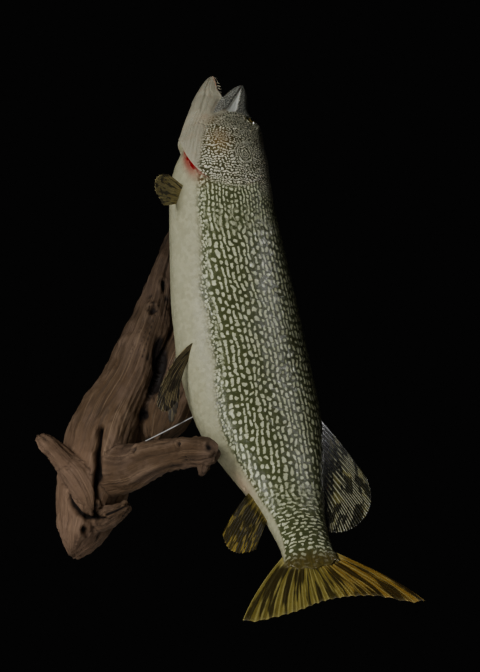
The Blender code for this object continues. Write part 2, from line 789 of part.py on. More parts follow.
def main():
    for old in list(bpy.data.objects):
        bpy.data.objects.remove(old)
    parts = bpy.data.collections.new("mounted_pike")
    cutters = bpy.data.collections.new("cutters")
    for collection in (parts, cutters):
        bpy.context.scene.collection.children.link(collection)

    skin = material("pike_trunk", (0.33, 0.34, 0.20), 0.30)
    head = build_head(parts, cutters)
    front = trunk_solid("trunk_front", NAPE, MID_CUT - CUT, 9, 26, skin, parts)
    rear = trunk_solid("trunk_rear", MID_CUT, VENT_CUT - CUT, 8, 26, skin, parts)
    stalk = trunk_solid("tail_stalk", VENT_CUT, TAIL_END, 8, 24, skin, parts)
    build_lower_jaw(parts, cutters)
    build_tongue(parts)
    for side, sign in (("left", 1), ("right", -1)):
        build_maxilla("maxilla_" + side, sign, parts, cutters, head)
        build_gill_cover("gill_cover_" + side, sign, parts, cutters, (head, front))
        build_eye("eye_" + side, sign, parts, cutters, head)

    grown = as_cutter(trunk_solid("grown_trunk", 0.15, TAIL_END + GAP, 34, 26, None, cutters, -GAP))
    for piece in build_median_fins(parts) + build_paired_fins(parts):
        cut(piece, grown)

    wood = build_driftwood(parts, cutters)
    build_fixings(parts, cutters, wood, [front, rear])


main()
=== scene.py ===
"""Looks of the mounted northern pike on driftwood: skin, scales, fins, eyes, teeth, wood and lights.

Units are metres, +Z is up and the wall is the plane y = 0. The fish is drawn straight, in (s, d, l):
s from the tip of the snout toward the tail, d toward the back, l toward the left flank. The pose
table then bends the spine and carries every point along. An angle a goes around the fish: it is 0
on the back, pi on the belly, above 0 on the left and below 0 on the right.
"""

import math

import bmesh
import bpy
import numpy as np
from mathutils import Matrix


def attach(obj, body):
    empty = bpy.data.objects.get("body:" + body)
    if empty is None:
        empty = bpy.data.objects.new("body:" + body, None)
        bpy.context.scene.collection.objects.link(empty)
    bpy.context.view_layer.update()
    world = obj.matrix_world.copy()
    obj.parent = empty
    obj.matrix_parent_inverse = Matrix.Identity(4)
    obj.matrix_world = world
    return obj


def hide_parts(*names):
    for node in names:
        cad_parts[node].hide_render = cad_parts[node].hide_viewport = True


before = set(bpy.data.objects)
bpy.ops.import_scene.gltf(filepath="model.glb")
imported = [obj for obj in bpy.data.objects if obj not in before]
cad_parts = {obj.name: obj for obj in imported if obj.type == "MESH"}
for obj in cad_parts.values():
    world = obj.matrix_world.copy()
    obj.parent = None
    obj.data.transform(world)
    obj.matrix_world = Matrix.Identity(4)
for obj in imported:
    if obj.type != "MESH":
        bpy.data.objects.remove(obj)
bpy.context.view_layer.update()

# ---------------------------------------------------------------- the fish's own dimensions

# Station, then lean, tilt and turn of the spine in degrees
POSE = (
    (0.10, 13.0, 3.0, 17.0),
    (0.20, 13.0, 3.0, 17.0),
    (0.22, 3.0, 1.0, 18.0),
    (0.32, -8.0, -4.0, 21.0),
    (0.42, -12.0, -9.0, 28.0),
    (0.52, -8.0, -12.0, 32.0),
    (0.62, 4.0, -16.0, 27.0),
    (0.72, 19.0, -15.0, 19.0),
    (0.82, 35.0, -12.0, 8.0),
    (0.90, 51.0, -10.0, -2.0),
    (1.05, 51.0, -10.0, -2.0),
)
SPINE_STEP, SPINE_START, SPINE_END = 0.005, -0.05, 1.05
ANCHOR_STATION, ANCHOR_POINT = 0.50, (0.194, -0.160, 0.079)

# Station, height of the back, drop of the belly and half width
TRUNK = (
    (0.145, 0.0615, 0.0790, 0.0430),
    (0.190, 0.0715, 0.0815, 0.0510),
    (0.215, 0.0745, 0.0815, 0.0531),
    (0.240, 0.0774, 0.0868, 0.0553),
    (0.260, 0.0800, 0.0898, 0.0570),
    (0.300, 0.0857, 0.0918, 0.0598),
    (0.350, 0.0936, 0.0950, 0.0640),
    (0.450, 0.1043, 0.1074, 0.0704),
    (0.550, 0.1064, 0.1128, 0.0704),
    (0.650, 0.0936, 0.0993, 0.0588),
    (0.700, 0.0777, 0.0800, 0.0483),
    (0.750, 0.0585, 0.0585, 0.0368),
    (0.800, 0.0436, 0.0436, 0.0273),
    (0.850, 0.0362, 0.0362, 0.0210),
    (0.880, 0.0380, 0.0380, 0.0130),
    (0.900, 0.0420, 0.0420, 0.0060),
)

# Station, heights of the top and of the lip, and half width
SNOUT = (
    (0.012, 0.0165, 0.0138, 0.0060),
    (0.015, 0.0190, 0.0127, 0.0125),
    (0.022, 0.0222, 0.0090, 0.0178),
    (0.035, 0.0252, 0.0012, 0.0230),
    (0.055, 0.0270, -0.0108, 0.0262),
    (0.075, 0.0290, -0.0203, 0.0280),
    (0.095, 0.0395, -0.0283, 0.0312),
    (0.115, 0.0535, -0.0337, 0.0368),
    (0.135, 0.0592, -0.0363, 0.0412),
)

# Station, heights of the lip and of the keel, and half width
JAW = (
    (0.0055, -0.0395, -0.0422, 0.0050),
    (0.0085, -0.0382, -0.0448, 0.0095),
    (0.0140, -0.0370, -0.0480, 0.0140),
    (0.0250, -0.0355, -0.0525, 0.0190),
    (0.0400, -0.0335, -0.0575, 0.0235),
    (0.0600, -0.0305, -0.0635, 0.0280),
    (0.0730, -0.0240, -0.0668, 0.0300),
    (0.0900, -0.0288, -0.0705, 0.0330),
    (0.1180, -0.0352, -0.0755, 0.0365),
    (0.1434, -0.0375, -0.0787, 0.0392),
)

FULLNESS = 0.95                              # 1 would make the trunk's section an ellipse
SEAM_DEGREES = 117.0                         # where the lips, and behind them the cheek line, lie
SEAM = math.radians(SEAM_DEGREES)
SEAM_DROP = abs(math.cos(SEAM)) ** FULLNESS
SEAM_WIDE = math.sin(SEAM) ** FULLNESS
UPPER = SNOUT + tuple((s, rise, -drop * SEAM_DROP, wide) for s, rise, drop, wide in TRUNK)
LOWER = JAW + tuple(
    (s, -drop * SEAM_DROP, -drop, wide * SEAM_WIDE) for s, rise, drop, wide in TRUNK if s > 0.15
)
MOUTH_CORNER = 0.0755                        # station where the lips meet
MOUTH_FLOOR, PALATE_ARCH = 0.60, 0.009       # depth as a share of the jaw's, and in metres
THROAT_END = 0.120
TAIL_END = 0.900

# Angle in degrees, and station of the gill cover's free edge there
GILL_EDGE = (
    (0.0, 0.229),
    (36.0, 0.233),
    (60.0, 0.248),
    (90.0, 0.262),
    (117.0, 0.253),
    (144.0, 0.225),
    (166.0, 0.193),
    (174.0, 0.181),
    (180.0, 0.177),
)
GILL_FRONT, GILL_BACK = 0.150, 0.300         # the rings between these bend to follow the gill cover
GILL_LIFT, SLIT_LIFT, SLIT_ANGLE, SLIT_WIDTH = 0.0006, 0.0052, 146.0, 22.0

# Lines on the side of the head, as chains of (s, d)
MAXILLA_TOP = (
    (0.0224, 0.0126),
    (0.0413, 0.0066),
    (0.0564, 0.0012),
    (0.0750, -0.0059),
    (0.0988, -0.0137),
    (0.1161, -0.0248),
    (0.1268, -0.0339),
)
SNOUT_EDGE = ((0.0350, 0.0118), (0.0655, 0.0090), (0.0949, 0.0053), (0.1045, 0.0009))
CHEEK_FOLD = ((0.1045, 0.0009), (0.1110, -0.0120), (0.1185, -0.0240), (0.1268, -0.0339))
FOLD_BY_HEIGHT = tuple((d, s) for s, d in CHEEK_FOLD[::-1])
PREOPERCLE = ((0.150, 0.030), (0.166, 0.010), (0.174, -0.016), (0.172, -0.040), (0.158, -0.056))

EYE_RADIUS, EYE_CENTRE = 0.0115, (0.1120, 0.0300, 0.0192)
SKIN_DEPTH = 0.0008                          # how far the skin lies under the tips of the scales

# ---------------------------------------------------------------- small mathematics

# Large odd numbers that mix the bits of a cell's place, so that neighbours come out unalike
PLACE_MIXERS = (374761393, 668265263, 1440662683)
SEED_MIXER, LAST_MIXER = 974634777, 1274126177
LOW_BITS = 0xFFFFFFFF                        # keeps 32 bits


def through(table, column, x):
    """Smooth curve through one column of a table whose first column is the station."""
    stations = np.array([row[0] for row in table])
    values = np.array([row[column] for row in table])
    slopes = np.gradient(values, stations)
    x = np.clip(x, stations[0], stations[-1])
    i = np.clip(np.searchsorted(stations, x) - 1, 0, len(stations) - 2)
    width = stations[i + 1] - stations[i]
    t = (x - stations[i]) / width
    return (
        (2 * t**3 - 3 * t**2 + 1) * values[i]
        + (t**3 - 2 * t**2 + t) * width * slopes[i]
        + (3 * t**2 - 2 * t**3) * values[i + 1]
        + (t**3 - t**2) * width * slopes[i + 1]
    )


def smoothstep(low, high, x):
    t = np.clip((x - low) / (high - low), 0.0, 1.0)
    return t * t * (3 - 2 * t)


def hump(x, width):
    return np.exp(-((x / width) ** 2))


def between(x, start, full, fade, end):
    """Share that rises from start to full and falls from fade to end."""
    return smoothstep(start, full, x) * (1 - smoothstep(fade, end, x))


def signed_power(value, power):
    return np.sign(value) * np.abs(value) ** power


def mix(a, b, share):
    return a + (b - a) * share


def unit(vector):
    return vector / np.linalg.norm(vector, axis=-1, keepdims=True)


def full_turn(count):
    """Angles of the points of a ring."""
    return 2 * math.pi * np.arange(count) / count


def wrap_angle(a):
    a = np.where(a > math.pi, a - 2 * math.pi, a)
    return np.where(a < -math.pi, a + 2 * math.pi, a)


def to_degrees(a):
    """Degrees from the back, alike on both sides."""
    return np.degrees(np.abs(a))


def lattice(cell, seed):
    """Fixed pseudo-random value from -1 to 1 for each whole-number cell, by mixing its bits."""
    h = sum(cell[..., k] * mixer for k, mixer in enumerate(PLACE_MIXERS)) + seed * SEED_MIXER
    h = (h & LOW_BITS).astype(np.uint64)
    h = ((h ^ (h >> np.uint64(13))) * np.uint64(LAST_MIXER)) & np.uint64(LOW_BITS)
    h = h ^ (h >> np.uint64(16))
    return h.astype(float) / 2.0**31 - 1.0


def noise(points, scale=1.0, seed=0):
    """Smooth noise from -1 to 1; scale is cells per unit, one number or one for each axis."""
    p = np.asarray(points, float) * scale
    cell = np.floor(p).astype(np.int64)
    t = p - cell
    t = t * t * t * (t * (t * 6 - 15) + 10)
    total = 0.0
    for corner in range(8):
        step = np.array([corner & 1, corner >> 1 & 1, corner >> 2 & 1])
        weight = np.prod(np.where(step, t, 1 - t), axis=-1)
        total = total + weight * lattice(cell + step, seed)
    return total


def layered(points, scale, octaves, seed):
    """Noise with finer and fainter noise over it."""
    total, size = 0.0, 1.0
    for k in range(octaves):
        total = total + size * noise(points, np.asarray(scale, float) * 2.0**k, seed + 17 * k)
        size *= 0.5
    return total


def to_line(x, y, line):
    """Distance from points (x, y) to a chain of straight stretches."""
    best = np.full(np.broadcast(x, y).shape, 1.0)
    for (x0, y0), (x1, y1) in zip(line, line[1:]):
        dx, dy = x1 - x0, y1 - y0
        t = np.clip(((x - x0) * dx + (y - y0) * dy) / (dx * dx + dy * dy), 0, 1)
        best = np.minimum(best, np.hypot(x - x0 - t * dx, y - y0 - t * dy))
    return best


def along_line(x, line):
    return np.interp(x, [p[0] for p in line], [p[1] for p in line])


# ---------------------------------------------------------------- the bent spine

class Spine:
    """The bent spine, with its back and left at each station, which places points of the straight fish."""

    def __init__(self):
        self.stations = np.arange(SPINE_START, SPINE_END + SPINE_STEP / 2, SPINE_STEP)
        lean, tilt, turn = (np.radians(through(POSE, k, self.stations)) for k in (1, 2, 3))
        forward = np.stack([np.sin(tilt), np.cos(tilt) * np.sin(lean), np.cos(tilt) * np.cos(lean)], 1)
        right = np.array([1.0, 0.0, 0.0]) - forward[:, :1] * forward
        right = unit(right)
        toward = np.cross(right, forward)
        self.forward = forward
        self.back = right * np.cos(turn)[:, None] - toward * np.sin(turn)[:, None]
        self.left = np.cross(self.back, forward)
        steps = -(forward[1:] + forward[:-1]) / 2 * SPINE_STEP
        path = np.concatenate([np.zeros((1, 3)), np.cumsum(steps, 0)])
        anchor = int(round((ANCHOR_STATION - SPINE_START) / SPINE_STEP))
        self.path = path - path[anchor] + np.array(ANCHOR_POINT)

    def at(self, rows, s):
        """One row of a table for each station s, shared between its neighbours."""
        x = (np.asarray(s, float) - SPINE_START) / SPINE_STEP
        i = np.clip(x.astype(int), 0, len(self.stations) - 2)
        t = (x - i)[..., None]
        return rows[i] * (1 - t) + rows[i + 1] * t

    def place(self, points):
        p = np.asarray(points, float)
        return (
            self.at(self.path, p[..., 0])
            + self.at(self.back, p[..., 0]) * p[..., 1:2]
            + self.at(self.left, p[..., 0]) * p[..., 2:3]
        )


SPINE = Spine()


# ---------------------------------------------------------------- the skin's shape

HEAD_SHAPE, TRUNK_SHAPE = 0.115, 0.165       # between these stations the head's section becomes the trunk's
STEP_ALONG, STEP_AROUND = 0.0012, 0.012      # steps that give the skin's direction
COVER_START = 0.168                          # the gill cover begins to rise behind this station
DEGREES_PER_RADIAN = 57.3
PORES = (0.026, 0.042, 0.058, 0.076, 0.096)  # stations of the pores in the jaw's groove
NOSTRILS = ((0.0850, 0.0150, 0.0016), (0.0905, 0.0165, 0.0021))     # station, distance aside, size
BROW = ((0.096, 0.0385), (0.106, 0.0445), (0.119, 0.0455), (0.130, 0.0410))
INTEROPERCLE = ((0.150, -0.049), (0.185, -0.047), (0.222, -0.040), (0.245, -0.028))
VENT = 0.738
HEAD_FADE, HEAD_FLAT = 0.262, 0.275          # the head's bones fade out between these stations


def jaw_opening(s):
    return np.sqrt(np.clip((MOUTH_CORNER - s) / 0.010, 0.0, 1.0))


def lips(s):
    """Upper and lower lip as (d, l) pairs, apart and then joined into one line behind the mouth."""
    lip, wide = through(UPPER, 2, s), through(UPPER, 3, s)
    jaw_lip, keel, jaw_wide = (through(LOWER, k, s) for k in (1, 2, 3))
    body = smoothstep(HEAD_SHAPE, TRUNK_SHAPE, s)
    up = np.stack([lip, wide * mix(1.0, SEAM_WIDE, body)], -1)
    low = np.stack([mix(jaw_lip, keel * SEAM_DROP, body), mix(jaw_wide, wide * SEAM_WIDE, body)], -1)
    middle = (up + low) / 2
    gape = jaw_opening(s)[..., None]
    return up, low, middle + (up - middle) * gape, middle + (low - middle) * gape


def section(s, a):
    """Smooth skin of the straight fish at station s and angle a."""
    s, a = np.broadcast_arrays(np.asarray(s, float), np.asarray(a, float))
    top, lip, wide = (through(UPPER, k, s) for k in (1, 2, 3))
    wide = wide * (1 - 0.60 * smoothstep(0.872, TAIL_END, s))
    jaw_lip, keel, jaw_wide = (through(LOWER, k, s) for k in (1, 2, 3))
    body = smoothstep(HEAD_SHAPE, TRUNK_SHAPE, s)
    side, x = np.where(a < 0, -1.0, 1.0), np.abs(a)
    c, w = np.cos(x), np.clip(np.sin(x), 0, 1)
    up, low, up_end, low_end = lips(s)

    u = np.minimum(x / SEAM, 1.0)
    quarter = math.pi / 2 * u
    d_up = mix(
        lip + (top - lip) * np.clip(np.cos(quarter), 0, 1) ** 0.75,
        np.where(c > 0, top, -lip / SEAM_DROP) * signed_power(c, FULLNESS),
        body,
    )
    l_up = mix(wide * np.sin(quarter) ** 0.62, wide * w**FULLNESS, body)
    d_up = d_up + (up_end[..., 0] - up[..., 0]) * u**8
    l_up = l_up + (up_end[..., 1] - up[..., 1]) * u**8

    q = np.clip((x - SEAM) / (math.pi - SEAM), 0, 1)
    d_low = mix(
        jaw_lip - (jaw_lip - keel) * np.sin(math.pi / 2 * q) ** 0.9,
        keel * np.abs(c) ** FULLNESS,
        body,
    )
    l_low = mix(jaw_wide * np.clip(np.cos(math.pi / 2 * q), 0, 1) ** 0.8, wide * w**FULLNESS, body)
    d_low = d_low + (low_end[..., 0] - low[..., 0]) * (1 - q) ** 8
    l_low = l_low + (low_end[..., 1] - low[..., 1]) * (1 - q) ** 8

    above = x <= SEAM
    return np.stack([s, np.where(above, d_up, d_low), side * np.where(above, l_up, l_low)], -1)


def outward(s, a):
    """Direction out of the smooth skin."""
    along = section(s + STEP_ALONG, a) - section(np.maximum(s - STEP_ALONG, 0.006), a)
    low, high = wrap_angle(a - STEP_AROUND), wrap_angle(a + STEP_AROUND)
    # On a lip the section ends, so the step around stays on its own side of the seam.
    for edge in (SEAM, -SEAM):
        split = (s < MOUTH_CORNER + 0.004) & ((low - edge) * (high - edge) < 0)
        hair = math.copysign(1e-6, edge)
        held = np.where(np.abs(a) <= SEAM, edge - hair, edge + hair)
        toward_high = (high - a) * (edge - a) > 0
        high = np.where(split & toward_high, held, high)
        low = np.where(split & ~toward_high, held, low)
    around = section(s, high) - section(s, low)
    normal = np.cross(around, along)
    size = np.linalg.norm(normal, axis=-1, keepdims=True)
    return normal / np.maximum(size, 1e-12)


def gill_edge(a):
    """Station of the free edge of the gill cover; under the throat the right one is tucked away."""
    degrees = to_degrees(a)
    tucked = np.minimum(degrees + 26 * smoothstep(100, 150, degrees), 180.0)
    return through(GILL_EDGE, 1, np.where(np.asarray(a) < 0, tucked, degrees))


def slit_share(a):
    """How far the gill opening stands agape; the far side's opens higher up the cheek."""
    degrees = to_degrees(a)
    left = hump(degrees - SLIT_ANGLE, SLIT_WIDTH)
    right = hump(degrees - SLIT_ANGLE + 24.0, 0.7 * SLIT_WIDTH)
    return np.where(np.asarray(a) < 0, right, left)


def cover_amount(degrees):
    """Share of a gill cover: the nape between the two covers has none."""
    return smoothstep(26, 42, degrees)


def cover_lift(s, a):
    """How far the gill cover stands off the body in front of its free edge."""
    edge = gill_edge(a)
    lift = (GILL_LIFT + SLIT_LIFT * slit_share(a)) * cover_amount(to_degrees(a))
    start = mix(COVER_START, edge, 0.2)
    rise = smoothstep(0, 1, (s - start) / np.maximum(edge - start, 0.004))
    return lift * rise * (s <= edge + 1e-6)


def on_upper(degrees):
    return degrees <= SEAM_DEGREES + 0.01


def head_relief(p, degrees, a):
    """Bones, folds and pits of the head, as height above the smooth skin."""
    s, d, l = p[..., 0], p[..., 1], np.abs(p[..., 2])
    upper = on_upper(degrees)
    lower = ~upper
    height = np.zeros_like(s)

    # Blade of the maxilla, with a rim, and the hollow of stretched skin behind it
    blade_top = along_line(s, MAXILLA_TOP)
    in_blade = smoothstep(-0.0008, 0.0008, blade_top - d) * between(s, 0.019, 0.026, 0.121, 0.128) * upper
    height += 0.0013 * in_blade - 0.0006 * in_blade * hump(blade_top - d - 0.005, 0.0028)
    height -= 0.0010 * upper * hump(to_line(s, d, MAXILLA_TOP), 0.0011) * (s > 0.02)
    ahead = smoothstep(0.0, 0.004, along_line(d, FOLD_BY_HEIGHT) - s)
    hollow = smoothstep(0.0, 0.005, d - blade_top) * smoothstep(0.0, 0.004, along_line(s, SNOUT_EDGE) - d)
    hollow = hollow * ahead * upper * (s > 0.03)
    height -= 0.0030 * hollow
    height += 0.0013 * upper * hump(to_line(s, d, CHEEK_FOLD), 0.0016)
    height += 0.0007 * upper * hump(to_line(s, d, SNOUT_EDGE), 0.0014)
    height += 0.0003 * hollow * np.sin(2 * math.pi * (d - 0.35 * s) / 0.0042)

    # Top of the snout: shallow trough between two long ridges, nostrils in front of the eyes
    on_top = between(s, 0.020, 0.035, 0.105, 0.130) * (degrees < 75)
    height -= 0.0016 * on_top * hump(l, 0.0050)
    height += 0.0009 * on_top * hump(l - 0.0105, 0.0028)
    for station, across, size in NOSTRILS:
        away = np.hypot(s - station, l - across)
        rim = hump(away - 1.25 * size, 0.5 * size)
        height += upper * (degrees < 70) * (0.0007 * rim - 0.0020 * hump(away, size))

    # Eye: a socket under the ball, a soft rim of skin, and the bony brow over it
    away = np.hypot(s - EYE_CENTRE[0], d - EYE_CENTRE[1])
    near_eye = upper & (l > 0.012)
    height -= near_eye * 0.0068 * (1 - smoothstep(0.0066, 0.0094, away))
    height += near_eye * 0.0013 * hump(away - 0.0106, 0.0013)
    height -= near_eye * 0.0005 * hump(away - 0.0140, 0.0011)
    height += near_eye * 0.0021 * hump(to_line(s, d, BROW), 0.0030)

    # Cheek, crescent of the preopercle, and fine ridges fanning over the gill cover
    height += 0.0026 * upper * hump(np.hypot((s - 0.146) / 1.2, d + 0.010), 0.019)
    on_side = (degrees > 35) & (degrees < 150)
    height -= 0.0015 * hump(to_line(s, d, PREOPERCLE), 0.0019) * on_side
    height += 0.0008 * hump(to_line(s - 0.0045, d, PREOPERCLE), 0.0022) * on_side
    fan = np.arctan2(d - 0.020, s - 0.172)
    on_cover = smoothstep(0.180, 0.196, s) * cover_amount(degrees) * (degrees < 128)
    height += 0.00022 * on_cover * np.sin(34 * fan + 1.5 * noise(p, 60, 3))
    edge = gill_edge(a)
    height -= 0.0006 * on_cover * hump(s - (edge - 0.0085), 0.0016)
    height -= 0.0011 * hump(to_line(s, d, INTEROPERCLE), 0.0015) * (degrees > 95)

    # Lower jaw: long groove with pores, folded corner of the mouth, bars under the gill cover
    jaw_lip, keel = through(LOWER, 1, s), through(LOWER, 2, s)
    share = (jaw_lip - d) / np.maximum(jaw_lip - keel, 0.002)
    jaw_zone = lower * between(s, 0.012, 0.020, 0.118, 0.135)
    from_groove = share - 0.52 - 0.10 * np.sin(26 * s)
    height -= 0.0021 * jaw_zone * hump(from_groove, 0.040)
    height -= 0.0007 * jaw_zone * hump(share - 0.34 - 0.09 * np.sin(31 * s), 0.028)
    height += 0.0006 * jaw_zone * hump(from_groove - 0.10, 0.06)
    for station in PORES:
        height -= 0.0009 * lower * hump(np.hypot(s - station, from_groove * 0.03), 0.0011)
    height += 0.0007 * lower * hump(share - 0.03, 0.05) * (s < MOUTH_CORNER)
    lip_band = hump((degrees - SEAM_DEGREES) / DEGREES_PER_RADIAN * 0.045, 0.0022)
    height -= 0.0024 * between(s, MOUTH_CORNER, MOUTH_CORNER + 0.006, 0.122, 0.136) * lip_band
    bars = smoothstep(0.112, 0.135, s) * between(degrees, 128, 134, 168, 176)
    bars = bars * (1 - smoothstep(-0.006, 0.0, s - edge))
    lean = degrees - 70 * (s - 0.16) * (degrees < 180)
    height += 0.0010 * bars * np.sin(2 * math.pi * lean / 5.6)
    chin_line = hump((degrees - 180) / DEGREES_PER_RADIAN * 0.05, 0.0016)
    height -= 0.0016 * chin_line * smoothstep(0.090, 0.11, s) * (s < 0.20)
    return height


# Swellings under the pectoral and pelvic fins: station, degrees, width and height
FIN_ROOTS = (
    (0.270, 120.0, 0.018, 0.00175),
    (0.511, 165.0, 0.018, 0.00147),
)


def relief(s, a):
    """Height of the real skin over the smooth section."""
    s, a = np.broadcast_arrays(np.asarray(s, float), np.asarray(a, float))
    degrees = to_degrees(a)
    p = section(s, a)
    height = np.zeros_like(s)
    near = s < HEAD_FLAT
    if near.any():
        fade = 1 - smoothstep(HEAD_FADE, HEAD_FLAT, s[near])
        height[near] = head_relief(p[near], degrees[near], a[near]) * fade
    for station, angle, size, tall in FIN_ROOTS:
        away = np.hypot((s - station) / 1.3, np.radians(degrees - angle) * 0.07)
        height = height + tall * hump(away, size)
    # Faint muscle blocks in W-shaped bands, the lateral line, and the vent
    flank = between(s, 0.27, 0.33, 0.84, 0.88)
    aside = np.abs((np.radians(degrees) - math.pi / 2) * 0.08)
    bands = np.sin(2 * math.pi * (s + 0.30 * aside - 0.5 * np.abs(aside - 0.03)) / 0.016)
    height = height + 0.00012 * flank * bands
    height = height - 0.00030 * flank * hump(degrees - 82, 1.3)
    behind = smoothstep(-0.001, 0.002, s - gill_edge(a)) * (1 - smoothstep(0.192, 0.226, s))
    height = height - 0.0088 * behind * hump(degrees - 180, 52)
    vent = np.hypot(s - VENT, np.radians(degrees - 180) * 0.05)
    height = height + 0.0022 * hump(vent, 0.010) - 0.0034 * hump(vent, 0.0032)
    return height + 0.00012 * layered(p, 220, 2, 5)


def surface(s, a, height=0.0):
    """Posed point of the skin, or at a height over it."""
    raised = height + relief(s, a) + cover_lift(s, a) - SKIN_DEPTH
    point = section(s, a) + outward(s, a) * np.asarray(raised)[..., None]
    return SPINE.place(point)


# ---------------------------------------------------------------- markings, as numbers on each vertex

GIRTH_ROWS, GIRTH_COLUMNS = 180, 90
GIRTH_STATIONS = np.linspace(0.0, TAIL_END, GIRTH_ROWS + 1)
GIRTH_ANGLES = np.linspace(0.0, math.pi, GIRTH_COLUMNS + 1)


def girth_table():
    """Distance around the skin from the back, for each station and angle."""
    s = GIRTH_STATIONS[:, None] * np.ones_like(GIRTH_ANGLES)
    p = section(np.maximum(s, 0.02), GIRTH_ANGLES[None, :] * np.ones_like(s))
    steps = np.linalg.norm(np.diff(p[..., 1:], axis=1), axis=-1)
    return np.concatenate([np.zeros((len(s), 1)), np.cumsum(steps, 1)], 1)


GIRTH = girth_table()


def girth_at(s, a):
    i = np.clip(s / TAIL_END * GIRTH_ROWS, 0, GIRTH_ROWS - 0.001)
    j = np.clip(np.abs(a) / math.pi * GIRTH_COLUMNS, 0, GIRTH_COLUMNS - 0.001)
    i0, j0 = i.astype(int), j.astype(int)
    x, y = i - i0, j - j0
    near = GIRTH[i0, j0] * (1 - y) + GIRTH[i0, j0 + 1] * y
    far = GIRTH[i0 + 1, j0] * (1 - y) + GIRTH[i0 + 1, j0 + 1] * y
    return near * (1 - x) + far * x


def lie(s, a):
    """Coordinates of the markings: along the fish and around it from mid flank, apart on each side."""
    middle = girth_at(s, np.full_like(s, math.pi / 2))
    return np.stack([s, girth_at(s, a) - middle + np.where(a < 0, 1.0, 0.0), 0.0 * s], -1)


# Station, and degrees from the back where the white of the belly begins
BELLY_LINE = (
    (0.00, 104.0),
    (0.10, 112.0),
    (0.16, 118.0),
    (0.19, 123.0),
    (0.22, 128.0),
    (0.27, 131.0),
    (0.34, 132.0),
    (0.44, 137.0),
    (0.52, 141.0),
    (0.60, 145.0),
    (0.65, 150.0),
    (0.70, 155.0),
    (0.77, 156.0),
    (0.83, 154.0),
    (0.87, 158.0),
    (0.90, 165.0),
)


def markings(s, a):
    """Shares of belly white (with the pale side of the snout, partly a painted highlight), head worms, tail
    bars and snout grey; then of red, amber and dark back.
    """
    degrees = to_degrees(a)
    p = section(s, a)
    d = p[..., 1]
    wander = 4.0 * noise(np.stack([s, np.abs(a) * 0.1, a * 0], -1), 26, 11)
    white = smoothstep(-14, 12, degrees - through(BELLY_LINE, 1, s) - wander)
    jaw = smoothstep(112, 124, degrees + 200 * (0.115 - s)) * (1 - smoothstep(0.125, 0.165, s))
    white = np.maximum(white, jaw)
    # The side of the snout over the maxilla, and the cheek fold, are made pale: partly their own pale
    # colour, partly a painted highlight of the glossy flat side.
    over_blade = d - along_line(s, MAXILLA_TOP)
    hollow = smoothstep(0.0, 0.002, over_blade) * (degrees < SEAM_DEGREES)
    hollow = hollow * smoothstep(0.0, 0.0025, along_line(s, SNOUT_EDGE) - d) * (s > 0.034)
    hollow = hollow * smoothstep(0.0, 0.002, along_line(d, FOLD_BY_HEIGHT) - s + 0.001)
    fold = hump(to_line(s, d, CHEEK_FOLD), 0.0018) * (degrees < SEAM_DEGREES)
    white = np.maximum(white, np.maximum(hollow, fold))
    past_gill = s - gill_edge(a)
    worms = 1 - smoothstep(0.245, 0.285, s)
    worms = np.where(degrees > 60, 1 - smoothstep(-0.004, 0.010, past_gill), worms)
    bars = smoothstep(0.74, 0.82, s)
    red = 0.85 * slit_share(a) ** 1.5 * hump(past_gill - 0.006, 0.013) * (past_gill > 0)
    vent = np.hypot((s - 0.735) / 1.6, np.radians(degrees - 178) * 0.06)
    red = np.maximum(red, 0.30 * hump(vent, 0.016))
    amber = 0.9 * hump(np.hypot((s - 0.196) / 1.2, d + 0.024), 0.017)
    amber = np.maximum(amber, 0.45 * hump(np.hypot(s - 0.150, d + 0.040), 0.020))
    blade = smoothstep(-0.0005, 0.0012, -over_blade) * (1 - smoothstep(0.121, 0.128, s))
    snout = (1 - smoothstep(0.095, 0.112, s)) * (1 - hollow)
    grey = np.maximum(blade, snout) * on_upper(degrees)
    dark = 1 - smoothstep(14, 62, degrees)
    marks = np.stack([white, worms, bars, grey], -1)
    tones = np.stack([red, amber, dark, np.ones_like(s)], -1)
    return marks, tones


# ---------------------------------------------------------------- building meshes

class Patchwork:
    """Grids of points and the quads between them, with a texture place for each corner."""

    def __init__(self):
        self.points, self.params, self.quads, self.places = [], [], [], []
        self.count = 0

    def add(self, points, params=(0.0, 0.0, 0.0)):
        """Adds points (any shape, 3) with their (s, a, part of the skin) and returns their numbers."""
        shape = points.shape[:-1]
        number = int(np.prod(shape))
        self.points.append(points.reshape(-1, 3))
        self.params.append(np.broadcast_to(params, shape + (3,)).reshape(-1, 3))
        ids = np.arange(self.count, self.count + number).reshape(shape)
        self.count += number
        return ids

    def add_between(self, first, points, params, last):
        """Adds a row but for its ends, which are points that are there already."""
        return np.concatenate([[first], self.add(points[1:-1], params[1:-1]), [last]])

    def add_rings(self, points):
        """Adds rings, and returns their numbers with the first column again at the end."""
        ids = self.add(points)
        return np.concatenate([ids, ids[:, :1]], 1)

    def weave(self, ids, places, flip=False):
        """Quads over a grid of point numbers."""
        corner = (
            (slice(None, -1), slice(None, -1)),
            (slice(None, -1), slice(1, None)),
            (slice(1, None), slice(1, None)),
            (slice(1, None), slice(None, -1)),
        )
        order = corner[::-1] if flip else corner
        self.quads.append(np.stack([ids[c].ravel() for c in order], -1))
        self.places.append(np.stack([places[c].reshape(-1, 2) for c in order], 1))

    def mesh(self, name):
        points, quads = np.concatenate(self.points), np.concatenate(self.quads)
        return mesh_from(name, points, quads, np.concatenate(self.places).reshape(-1, 2))


